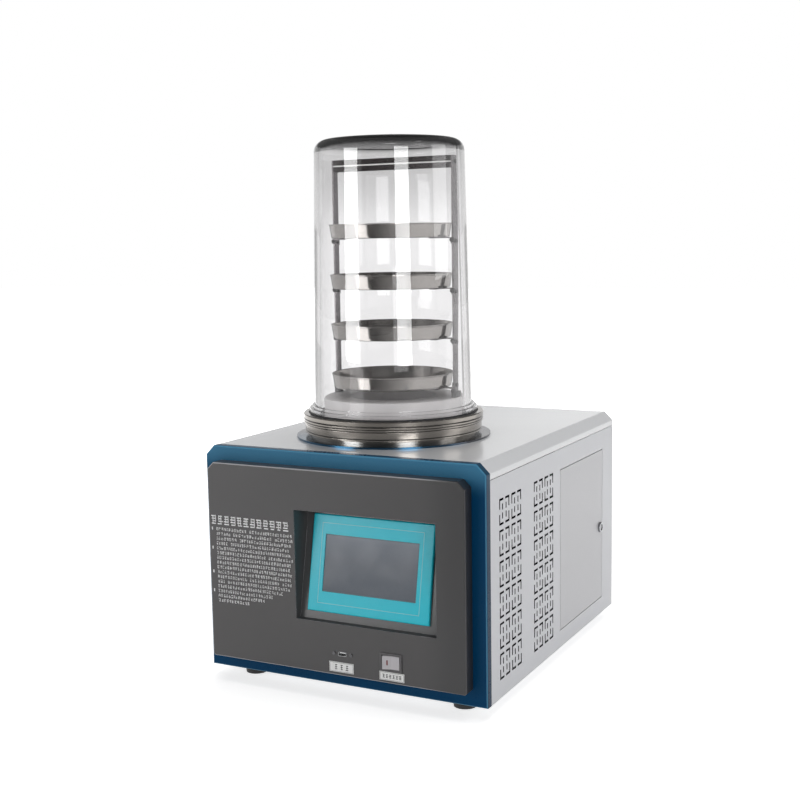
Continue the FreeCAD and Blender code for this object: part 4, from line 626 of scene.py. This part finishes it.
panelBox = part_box("front_panel")
steps = {
    "left": -0.2275, "right": -0.0785, "thick": 0.00006, "seed": 11,
    "title": {
        "low": 0.2635, "high": 0.2785, "marks": 12, "fill": 0.86, "bars": 4, "spread": 3.6, "stroke": 0.13,
        "inset": (0.0, 0.22), "short": (0.0, 0.2), "stems": ((0.12, 0.34), (0.5, 0.72)), "stemWide": 0.0013,
        "footDrop": (0.0, 0.2, 0.45), "headDrop": (0.0, 0.15),
    },
    "rows": {
        "count": 16, "first": 0.2586, "pitch": 0.0079, "tall": 0.0050, "indent": 0.0095, "overrun": 0.002,
        "short": {3: 0.96, 7: 0.98, 11: 0.96, 12: 0.88, 13: 0.74, 14: 0.62, 15: 0.42},  # share of the full width
        "numbered": (0, 4, 9, 13), "numberWide": 0.0022, "numberInset": 0.001,
        "markWide": 0.0037, "wideSpan": (0.75, 1.15), "between": 0.0011, "betweenSpan": (0.7, 1.5),
        "stroke": 0.0007, "strokeSpan": (0.8, 1.2), "blanks": 0.03, "inset": (0.0, 0.3),
        "levels": (0.0, 0.3, 0.6, 0.84), "levelCount": (2, 3, 3),
        "stems": (0.08, 0.4, 0.75), "stemCount": (1, 2, 2), "headDrop": (0.0, 0.3, 0.45),
    },
}


def titleBars(chance):
    # plain bars and stems, no letters
    title = steps["title"]
    bars = []
    low, high = title["low"], title["high"]
    tall = high - low
    pitch = (steps["right"] - steps["left"]) / title["marks"]
    for i in range(title["marks"]):
        left = steps["left"] + i * pitch
        for j in range(title["bars"]):
            level = low + j * tall / title["spread"]
            inset = chance.uniform(*title["inset"]) * pitch
            right = left + pitch * title["fill"] - chance.uniform(*title["short"]) * pitch
            bars.append((left + inset, right, level, level + tall * title["stroke"]))
        for across in [chance.uniform(*span) for span in title["stems"]]:
            stem = left + pitch * across
            foot = low + tall * chance.choice(title["footDrop"])
            head = high - tall * chance.choice(title["headDrop"])
            bars.append((stem, stem + title["stemWide"], foot, head))
    return bars


def rowBars(chance, row):
    rows = steps["rows"]
    bars = []
    top = rows["first"] - row * rows["pitch"]
    tall = rows["tall"]
    low = top - tall
    if row in rows["numbered"]:
        number = steps["left"] + rows["numberInset"]
        bars.append((number, number + rows["numberWide"], low, top))
    left = steps["left"] + rows["indent"]
    last = left + (steps["right"] + rows["overrun"] - left) * rows["short"].get(row, 1.0)
    while left < last:
        wide = rows["markWide"] * chance.uniform(*rows["wideSpan"])
        stroke = rows["stroke"] * chance.uniform(*rows["strokeSpan"])
        if chance.random() > rows["blanks"]:
            for level in chance.sample(rows["levels"], chance.choice(rows["levelCount"])):
                inset = wide * chance.uniform(*rows["inset"])
                right = left + wide - inset * chance.random()
                bars.append((left + inset, right, low + level * tall, low + level * tall + stroke))
            for across in chance.sample(rows["stems"], chance.choice(rows["stemCount"])):
                head = top - tall * chance.choice(rows["headDrop"])
                bars.append((left + wide * across, left + wide * across + stroke, low, head))
        left += wide + rows["between"] * chance.uniform(*rows["betweenSpan"])
    return bars


chance = random.Random(steps["seed"])
bars = titleBars(chance)
for row in range(steps["rows"]["count"]):
    bars += rowBars(chance, row)
whiteInk = {
    "shade": (252, 252, 253), "drift": 0.05, "rough": 0.55, "grain": 1800.0, "depth": 0.00001, "edge": 0.0001,
    "wornAndSheen": (190, 190, 192),
}
mesh = inkMesh("panel_print", bars, (0, panelBox[0][1], 0), (1, 0, 0), (0, 0, 1), steps["thick"])
addPiece("panel_print", mesh, makeFinish("screenPrintWhite", whiteInk), "cabinet")
print("panel print laid:", len(bars), "bars")


# Labels under the socket and the switch

labelPaper = {
    "shade": (255, 254, 252), "drift": 0.03, "driftSize": 40.0, "rough": 0.5, "grain": 900.0, "depth": 0.00001,
    "edge": 0.0002, "wornAndSheen": (196, 192, 184), "coat": 0.2,
}
dress(makeFinish("labelVinyl", labelPaper), "label_plates")
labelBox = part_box("label_plates")
labelInk = {
    "thick": 0.00004, "seed": 5, "margin": 0.0009, "line": 0.00042,
    "levels": (0.0, 0.42, 0.84), "stroke": 0.16, "inset": (0, 0.25), "stemHalf": 0.0004,
    "socket": {
        "middle": (0.0103, 0.0563), "half": (0.0215, 0.008), "marks": 3, "tall": 0.0082, "wide": 0.0046,
        "pitch": 0.0098,
    },
    "switch": {
        "middle": (0.0985, 0.0543), "half": (0.02125, 0.00675), "marks": 6, "tall": 0.0056, "wide": 0.0044,
        "pitch": 0.0057,
    },
}
bars = []
chance = random.Random(labelInk["seed"])
for label in (labelInk["socket"], labelInk["switch"]):
    middleX, middleZ = label["middle"]
    halfWide, halfTall = label["half"]
    margin = labelInk["margin"]
    for left, right, low, high in frameBars(halfWide - margin, halfTall - margin, labelInk["line"]):
        bars.append((middleX + left, middleX + right, middleZ + low, middleZ + high))
    wide, tall = label["wide"], label["tall"]
    low, high = middleZ - tall / 2, middleZ + tall / 2
    for i in range(label["marks"]):
        center = middleX + (i - (label["marks"] - 1) / 2) * label["pitch"]
        left, right = center - wide / 2, center + wide / 2
        for share in labelInk["levels"]:
            inset = chance.uniform(*labelInk["inset"]) * wide
            bars.append((left + inset, right, low + share * tall, low + (share + labelInk["stroke"]) * tall))
        bars.append((center - labelInk["stemHalf"], center + labelInk["stemHalf"], low, high))
darkInk = {"shade": (42, 42, 46), "drift": 0.08, "rough": 0.5, "grain": 1500.0, "depth": 0.000005, "edge": 0.0001}
mesh = inkMesh("label_print", bars, (0, labelBox[0][1], 0), (1, 0, 0), (0, 0, 1), labelInk["thick"])
addPiece("label_print", mesh, makeFinish("labelInkDark", darkInk), "cabinet")
print("labels printed")


# Touch screen on its sloping plate

screenPlace = {
    "middle": (0.0507, -0.305036, 0.21225),
    "lean": 10.8674,  # degrees
    "thick": 0.005,
    "lineHalf": (0.0892, 0.0632),
    "line": 0.0008,
    "ink": 0.00005,
    "glassHalf": (0.082, 0.045),
    "glassRaise": 0.0005,
}
lean = math.radians(screenPlace["lean"])
screenUp = Vector((0, math.sin(lean), math.cos(lean)))
screenOut = Vector((0, -math.cos(lean), math.sin(lean)))
bezelPlastic = {
    "shade": (32, 208, 228), "drift": 0.03, "driftSize": 12.0, "rough": 0.3, "grain": 1400.0, "depth": 0.00001,
    "edge": 0.0009, "wornAndSheen": (150, 214, 224), "wornShare": 0.4, "specular": 0.22,
}
dress(makeFinish("tealBezel", bezelPlastic), "screen_bezel")
bezelFace = Vector(screenPlace["middle"]) + screenOut * screenPlace["thick"]
bars = frameBars(*screenPlace["lineHalf"], screenPlace["line"])
mesh = inkMesh("bezel_line", bars, bezelFace, (1, 0, 0), screenUp, screenPlace["ink"])
lineInk = {
    "shade": (150, 216, 226), "drift": 0.04, "rough": 0.4, "grain": 1200.0, "depth": 0.000005, "edge": 0.0001,
}
addPiece("bezel_line", mesh, makeFinish("bezelLineInk", lineInk), "cabinet")

display = {
    "high": (106, 114, 126), "middle": (76, 84, 96), "low": (42, 56, 72), "turnAt": 0.55,
    "mask": 0.0014, "maskEase": 0.0002, "maskShade": (52, 84, 98),
    "smear": (140, 148, 158), "smearSize": 30.0, "smearSpan": (0.4, 0.8), "smearShare": 0.12,
    "rough": 0.4, "rougher": 0.12, "roughSpan": (0.35, 0.7), "coat": 0.03, "coatRough": 0.06,
    "weave": 2600.0, "weaveStrength": 0.4, "weaveDepth": 0.000003,
}


def makeScreen(name, look):
    # a dark display behind glass, with a painted reflection that makes it lighter towards its top
    material, tree = newMaterial(name)
    coords = addNode(tree, "ShaderNodeTexCoord").outputs["Object"]
    middle = Vector(screenPlace["middle"]) + screenUp * screenPlace["glassRaise"]
    moved = vectorStep(tree, "SUBTRACT", coords, tuple(middle))
    upward = vectorStep(tree, "DOT_PRODUCT", moved, tuple(screenUp), "Value")
    halfWide, halfTall = screenPlace["glassHalf"]
    climb = rescale(tree, upward, -halfTall, halfTall)
    lower = mixShades(tree, rescale(tree, climb, 0.0, look["turnAt"]), tint(look["low"]), tint(look["middle"]))
    colour = mixShades(tree, rescale(tree, climb, look["turnAt"], 1.0), lower, tint(look["high"]))
    # dark mask round the lit area
    rims = []
    for reach, half in ((onAxis(tree, moved, "X"), halfWide), (upward, halfTall)):
        inner = half - look["mask"]
        rims.append(rescale(tree, figure(tree, "ABSOLUTE", reach), inner, inner + look["maskEase"]))
    colour = mixShades(tree, figure(tree, "MAXIMUM", *rims), colour, tint(look["maskShade"]))
    smears = noiseOf(tree, coords, look["smearSize"], detail=4.0, ragged=0.6)
    smeared = rescale(tree, smears, *look["smearSpan"], 0.0, look["smearShare"])
    colour = mixShades(tree, smeared, colour, tint(look["smear"]))
    rough = rescale(tree, smears, *look["roughSpan"], look["rough"], look["rough"] + look["rougher"])
    weave = noiseOf(tree, coords, look["weave"], detail=1.0)
    relief = {"Strength": look["weaveStrength"], "Distance": look["weaveDepth"], "Height": weave}
    skin = addNode(tree, "ShaderNodeBsdfPrincipled", {
        "Base Color": colour, "Roughness": rough, "Normal": addNode(tree, "ShaderNodeBump", relief).outputs[0],
        "Coat Weight": look["coat"], "Coat Roughness": look["coatRough"],
    })
    addNode(tree, "ShaderNodeOutputMaterial", {0: skin.outputs[0]})
    return material


dress(makeScreen("displayGlass", display), "screen_glass")
blackPlastic = {
    "shade": (46, 47, 50), "drift": 0.06, "rough": 0.5, "grain": 900.0, "depth": 0.00003, "wornAndSheen": (88, 88, 92),
    "dust": 0.2,
}
blackMoulding = makeFinish("blackMoulding", blackPlastic)
dress(blackMoulding, "screen_housing", "fan_shroud", "power_inlet", "pump_outlet")
print("screen done")


# Power switch

switchPlastic = {
    "shade": (84, 82, 84), "drift": 0.04, "rough": 0.4, "grain": 1300.0, "depth": 0.000015, "edge": 0.0007,
    "wornAndSheen": (196, 195, 196),
}
dress(makeFinish("switchFrame", switchPlastic), "switch_housing")
rockerPlastic = {
    "shade": (200, 196, 200), "drift": 0.03, "rough": 0.32, "grain": 1300.0, "depth": 0.000012, "edge": 0.0007,
    "wornAndSheen": (208, 206, 208), "wornShare": 0.4, "coat": 0.15,
}
dress(makeFinish("rockerCap", rockerPlastic), "power_rocker")
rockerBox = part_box("power_rocker")
mark = {"across": 0.3, "half": (0.0011, 0.0040), "thick": 0.00012, "shade": (112, 8, 18), "lookFrom": 0.05}
markX = rockerBox[0][0] + mark["across"] * (rockerBox[1][0] - rockerBox[0][0])
markZ = (rockerBox[0][2] + rockerBox[1][2]) / 2
inFront = Vector((markX, rockerBox[0][1] - mark["lookFrom"], markZ))
spot, normal = nodes["power_rocker"].ray_cast(inFront, Vector((0, 1, 0)))[1:3]
sideways = Vector((-normal.y, normal.x, 0)).normalized()
halfWide, halfTall = mark["half"]
bars = [(-halfWide, halfWide, -halfTall, halfTall)]
mesh = inkMesh("rocker_mark", bars, spot, sideways, (0, 0, 1), mark["thick"])
redInk = {"shade": mark["shade"], "drift": 0.05, "rough": 0.35, "grain": 1500.0, "depth": 0.000005, "edge": 0.0001}
addPiece("rocker_mark", mesh, makeFinish("rockerMarkRed", redInk), "power_rocker")
print("switch done")


# Door lock

chromePlate = {
    "shade": (150, 151, 154), "drift": 0.03, "driftSize": 60.0, "metal": 1.0, "rough": 0.12, "roughDrift": 0.04,
    "grain": 900.0, "depth": 0.000004, "edge": 0.0005, "wornAndSheen": (222, 222, 222),
}
dress(makeFinish("chromePlate", chromePlate), "lock_body", "lock_plug")
print("lock plated")


# Clear chamber cover, its seal and the turned flange

clearCover = {
    "shade": (253, 253, 253), "hazeShade": (250, 250, 250), "hazeSize": 9.0, "hazeSpan": (0.35, 0.75),
    "rough": 0.004, "hazeRough": 3,  # times
    "handled": 0.03, "handledRough": 0.03,  # finger marks above the rim
    "ripple": 0.000008, "rippleSize": 14.0, "bend": 1.585, "body": (0.65, 0.63, 0.65), "density": 22.0,
    "shadowShade": (250, 250, 250),
}


def makeClear(name, look):
    material, tree = newMaterial(name)
    coords = addNode(tree, "ShaderNodeTexCoord").outputs["Object"]
    haze = noiseOf(tree, coords, look["hazeSize"], detail=5.0, ragged=0.65)
    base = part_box("chamber_cover")[0][2]
    low = rescale(tree, onAxis(tree, coords, "Z"), base, base + look["handled"], look["handledRough"], 0.0)
    rough = rescale(tree, haze, *look["hazeSpan"], look["rough"], look["rough"] * look["hazeRough"])
    rough = figure(tree, "ADD", rough, low)
    ripple = noiseOf(tree, coords, look["rippleSize"], detail=2.0)
    relief = {"Strength": 1.0, "Distance": look["ripple"], "Height": ripple}
    tone = mixShades(tree, rescale(tree, haze, *look["hazeSpan"]), tint(look["shade"]), tint(look["hazeShade"]))
    glass = addNode(tree, "ShaderNodeBsdfPrincipled", {
        "Base Color": tone, "Roughness": rough, "Normal": addNode(tree, "ShaderNodeBump", relief).outputs[0],
        "IOR": look["bend"], "Transmission Weight": 1.0,
    })
    # lamps reach what stands inside
    passOn = addNode(tree, "ShaderNodeBsdfTransparent", {"Color": tint(look["shadowShade"])})
    rays = addNode(tree, "ShaderNodeLightPath").outputs
    both = addNode(tree, "ShaderNodeMixShader", {0: rays["Is Shadow Ray"], 1: glass.outputs[0], 2: passOn.outputs[0]})
    inside = addNode(tree, "ShaderNodeVolumeAbsorption", {"Color": (*look["body"], 1), "Density": look["density"]})
    addNode(tree, "ShaderNodeOutputMaterial", {0: both.outputs[0], 1: inside.outputs[0]})
    return material


dress(makeClear("clearAcrylic", clearCover), "chamber_cover")

sealRubber = {
    "shade": (34, 34, 36), "drift": 0.08, "driftSize": 30.0, "rough": 0.55, "grain": 1200.0, "depth": 0.00002,
    "edge": 0.0004, "wornAndSheen": (62, 62, 64), "dust": 0.1,
}
dress(makeFinish("blackRubber", sealRubber), "seal_ring", "rack_feet", "compressor_grommets")
footRubber = {**sealRubber, "shade": (28, 28, 30), "dust": 0.2}
dress(makeFinish("footRubber", footRubber), "rubber_feet")

turnedFlange = {
    "shade": (148, 143, 137), "drift": 0.08, "driftSize": 14.0, "metal": 0.93, "rough": 0.19, "roughDrift": 0.05,
    "texture": "turned", "grain": 900.0, "depth": 0.000008, "edge": 0.0006,
    "wornAndSheen": (214, 212, 208), "wornShare": 0.9, "grooves": (0.3965, 0.4005, 0.4125, 0.4165, 0.4205),
}
dress(makeFinish("turnedFlange", turnedFlange), "trap_flange")
# painted reflection: the front of the seal plate takes the blue of the frame mirrored in it
sealDisc = {
    **turnedFlange, "grooves": (), "shade": (82, 84, 90), "rough": 0.2, "wornShare": 0.6,
    "film": {"axis": "Y", "span": (trapY - 0.03, trapY - 0.12), "shade": (44, 82, 108), "share": 1.0},
}
dress(makeFinish("sealDisc", sealDisc), "seal_plate")
collarPlastic = {
    "shade": (242, 240, 240), "drift": 0.02, "driftSize": 12.0, "rough": 0.42, "texture": "turned", "grain": 700.0,
    "depth": 0.00001, "edge": 0.0008, "wornAndSheen": (232, 231, 231),
}
dress(makeFinish("turnedCollar", collarPlastic), "guide_collar")
print("cover and flange done")


# Rack

rackSteel = {
    "shade": (126, 122, 124), "drift": 0.06, "driftSize": 18.0, "metal": 1.0, "rough": 0.28, "roughDrift": 0.08,
    "texture": "brushed", "grain": 60.0, "stretch": (30, 30, 1), "depth": 0.00001, "edge": 0.0004,
    "wornAndSheen": (190, 188, 186), "wornShare": 0.6, "brushed": 0.4,
}
dress(makeFinish("rackSteel", rackSteel), "rack_uprights", "tray_brackets")
# painted reflection: a much darker copy of the rack steel, standing for the dark room mirrored in the bar
crossbarSteel = {**rackSteel, "shade": (52, 49, 49), "stretch": (1, 30, 30), "rough": 0.3}
dress(makeFinish("crossbarSteel", crossbarSteel), "rack_crossbar")
rackScrew = {
    "shade": (58, 57, 58), "drift": 0.08, "metal": 1.0, "rough": 0.35, "grain": 1500.0, "depth": 0.00001,
    "edge": 0.0004, "wornAndSheen": (150, 148, 146), "wornShare": 0.7,
}
dress(makeFinish("rackScrew", rackScrew), "rack_screws")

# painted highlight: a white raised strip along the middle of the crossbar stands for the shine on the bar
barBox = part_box("rack_crossbar")
glintStrip = {"tall": 0.0026, "proud": 0.0009, "rows": 7, "inset": 0.0005}
build = bmesh.new()
middleZ = (barBox[0][2] + barBox[1][2]) / 2
strips = []
for endX in (barBox[0][0] + glintStrip["inset"], barBox[1][0] - glintStrip["inset"]):
    strip = []
    for i in range(glintStrip["rows"] + 1):
        angle = math.pi * i / glintStrip["rows"]
        out = barBox[0][1] - glintStrip["proud"] * math.sin(angle)
        strip.append(build.verts.new((endX, out, middleZ + glintStrip["tall"] / 2 * math.cos(angle))))
    strips.append(strip)
near, far = strips
for i in range(glintStrip["rows"]):
    build.faces.new((near[i], near[i + 1], far[i + 1], far[i]))
build.faces.new(near)
build.faces.new(list(reversed(far)))
bmesh.ops.recalc_face_normals(build, faces=build.faces)
# white finish for the painted highlight strip
glintWhite = {**rackSteel, "shade": (248, 248, 246), "stretch": (1, 30, 30), "rough": 0.35, "metal": 0.1}
mesh = writeMesh("crossbar_glint", build)
addPiece("crossbar_glint", mesh, makeFinish("glintWhite", glintWhite), "cabinet")

# thumb nuts that clamp the trays' brackets, on the front edge of each upright
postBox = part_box("rack_uprights")
trays = ("tray_1", "tray_2", "tray_3", "tray_4")
knob = {
    "profile": (  # (radius, distance out)
        (0.0, 0.0), (0.0032, 0.0), (0.0038, 0.0006), (0.0040, 0.0030), (0.0036, 0.0036), (0.0020, 0.0040),
        (0.0, 0.0042),
    ),
    "around": 20,
    "flute": 0.00025,  # cut into every other point
    "fluteFrom": 0.003,  # radius
    "below": 0.0042,  # under each tray
    "inset": 0.0016,  # from the upright's outer face
    "weld": 0.00001,
}
build = bmesh.new()
for tray in trays:
    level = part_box(tray)[0][2] - knob["below"]
    for side, edge in ((-1, postBox[0][0]), (1, postBox[1][0])):
        center = Vector((edge - side * knob["inset"], postBox[0][1], level))
        rings = []
        for radius, out in knob["profile"]:
            ring = []
            for i in range(knob["around"]):
                turn = 2 * math.pi * i / knob["around"]
                reach = radius - (knob["flute"] if radius > knob["fluteFrom"] and i % 2 else 0.0)
                step = Vector((reach * math.cos(turn), -out, reach * math.sin(turn)))
                ring.append(build.verts.new(center + step))
            rings.append(ring)
        for lower, upper in zip(rings, rings[1:]):
            for i in range(knob["around"]):
                j = (i + 1) % knob["around"]
                build.faces.new((lower[i], lower[j], upper[j], upper[i]))
bmesh.ops.remove_doubles(build, verts=build.verts, dist=knob["weld"])
bmesh.ops.recalc_face_normals(build, faces=build.faces)
knobPlastic = {
    "shade": (38, 37, 39), "drift": 0.08, "rough": 0.35, "grain": 1800.0, "depth": 0.00001, "edge": 0.0004,
    "wornAndSheen": (110, 108, 108), "coat": 0.2,
}
mesh = writeMesh("rack_knobs", build)
addPiece("rack_knobs", mesh, makeFinish("knobPlastic", knobPlastic), "cabinet")
print("rack done")


# Trays and trap

traySteel = {
    "shade": (206, 202, 198), "drift": 0.05, "driftSize": 16.0, "metal": 0.92, "rough": 0.1, "roughDrift": 0.03,
    "texture": "turned", "grain": 650.0, "depth": 0.000006, "edge": 0.0004,
    "wornAndSheen": (222, 220, 218), "wornShare": 0.7, "brushed": 0.3,
}
dress(makeFinish("traySteel", traySteel), *trays)
trapSteel = {**traySteel, "shade": (176, 175, 174), "rough": 0.26, "grain": 400.0}
dress(makeFinish("trapSteel", trapSteel), "cold_trap_pot", "vacuum_line")
print("trays and trap done")


# Cooling and electrical parts inside the cabinet, and the drain valve behind it

copperTube = {
    "shade": (184, 110, 78), "drift": 0.14, "driftSize": 35.0, "metal": 1.0, "rough": 0.32, "roughDrift": 0.12,
    "grain": 500.0, "depth": 0.00001, "edge": 0.0003, "wornAndSheen": (214, 150, 112),
}
copper = makeFinish("copperTube", copperTube)
dress(copper, "condenser_coil", "evaporator_coil", "refrigerant_pipes", "filter_drier", "drain_line")
# painted shade: the fins are dark grey so that the vents read black
finStrip = {
    "shade": (52, 53, 55), "drift": 0.06, "metal": 1.0, "rough": 0.4, "texture": "brushed", "grain": 90.0,
    "stretch": (1, 1, 12), "depth": 0.00002, "edge": 0.0002, "dust": 0.2,
}
dress(makeFinish("finStrip", finStrip), "condenser_fins")
supplyCover = {**finStrip, "shade": (150, 152, 154), "grain": 60.0, "stretch": (12, 1, 1), "edge": 0.0006}
dress(makeFinish("supplyCover", supplyCover), "power_supply")
blackEnamel = {
    "shade": (24, 24, 26), "drift": 0.1, "rough": 0.25, "grain": 260.0, "depth": 0.00003, "edge": 0.001,
    "wornAndSheen": (70, 70, 74), "coat": 0.5, "dust": 0.35,
}
dress(makeFinish("blackEnamel", blackEnamel), "compressor", "fan_motor")
fanBlade = {**blackPlastic, "shade": (38, 39, 41), "rough": 0.4}
dress(makeFinish("fanBlade", fanBlade), "fan_rotor")
jacketFoam = {
    "shade": (44, 44, 46), "drift": 0.1, "driftSize": 10.0, "rough": 0.85, "texture": "cells", "grain": 260.0,
    "depth": 0.0008, "edge": 0.001, "wornAndSheen": (74, 74, 76), "specular": 0.2,
}
dress(makeFinish("jacketFoam", jacketFoam), "trap_insulation")
boardMask = {
    "shade": (30, 96, 62), "drift": 0.2, "driftSize": 90.0, "rough": 0.35, "texture": "spangle", "grain": 220.0,
    "depth": 0.00003, "edge": 0.0003, "wornAndSheen": (196, 186, 120), "wornShare": 0.7, "coat": 0.3,
}
dress(makeFinish("boardMask", boardMask), "control_board")
brassBody = {
    "shade": (190, 156, 84), "drift": 0.08, "driftSize": 40.0, "metal": 1.0, "rough": 0.26, "grain": 900.0,
    "depth": 0.000008, "edge": 0.0005, "wornAndSheen": (226, 200, 132),
}
dress(makeFinish("brassBody", brassBody), "drain_valve")
leverRed = {
    "shade": (176, 30, 28), "drift": 0.05, "rough": 0.38, "grain": 1100.0, "depth": 0.00002, "edge": 0.0007,
    "wornAndSheen": (214, 92, 84), "coat": 0.2,
}
dress(makeFinish("leverRed", leverRed), "drain_lever")
print("inner parts done")

leastNodes = 8  # a finish has at least this many
bare = []
for name, node in nodes.items():
    slots = node.data.materials
    if not slots or not slots[0].use_nodes or len(slots[0].node_tree.nodes) < leastNodes:
        bare.append(name)
print("nodes still bare:", bare)
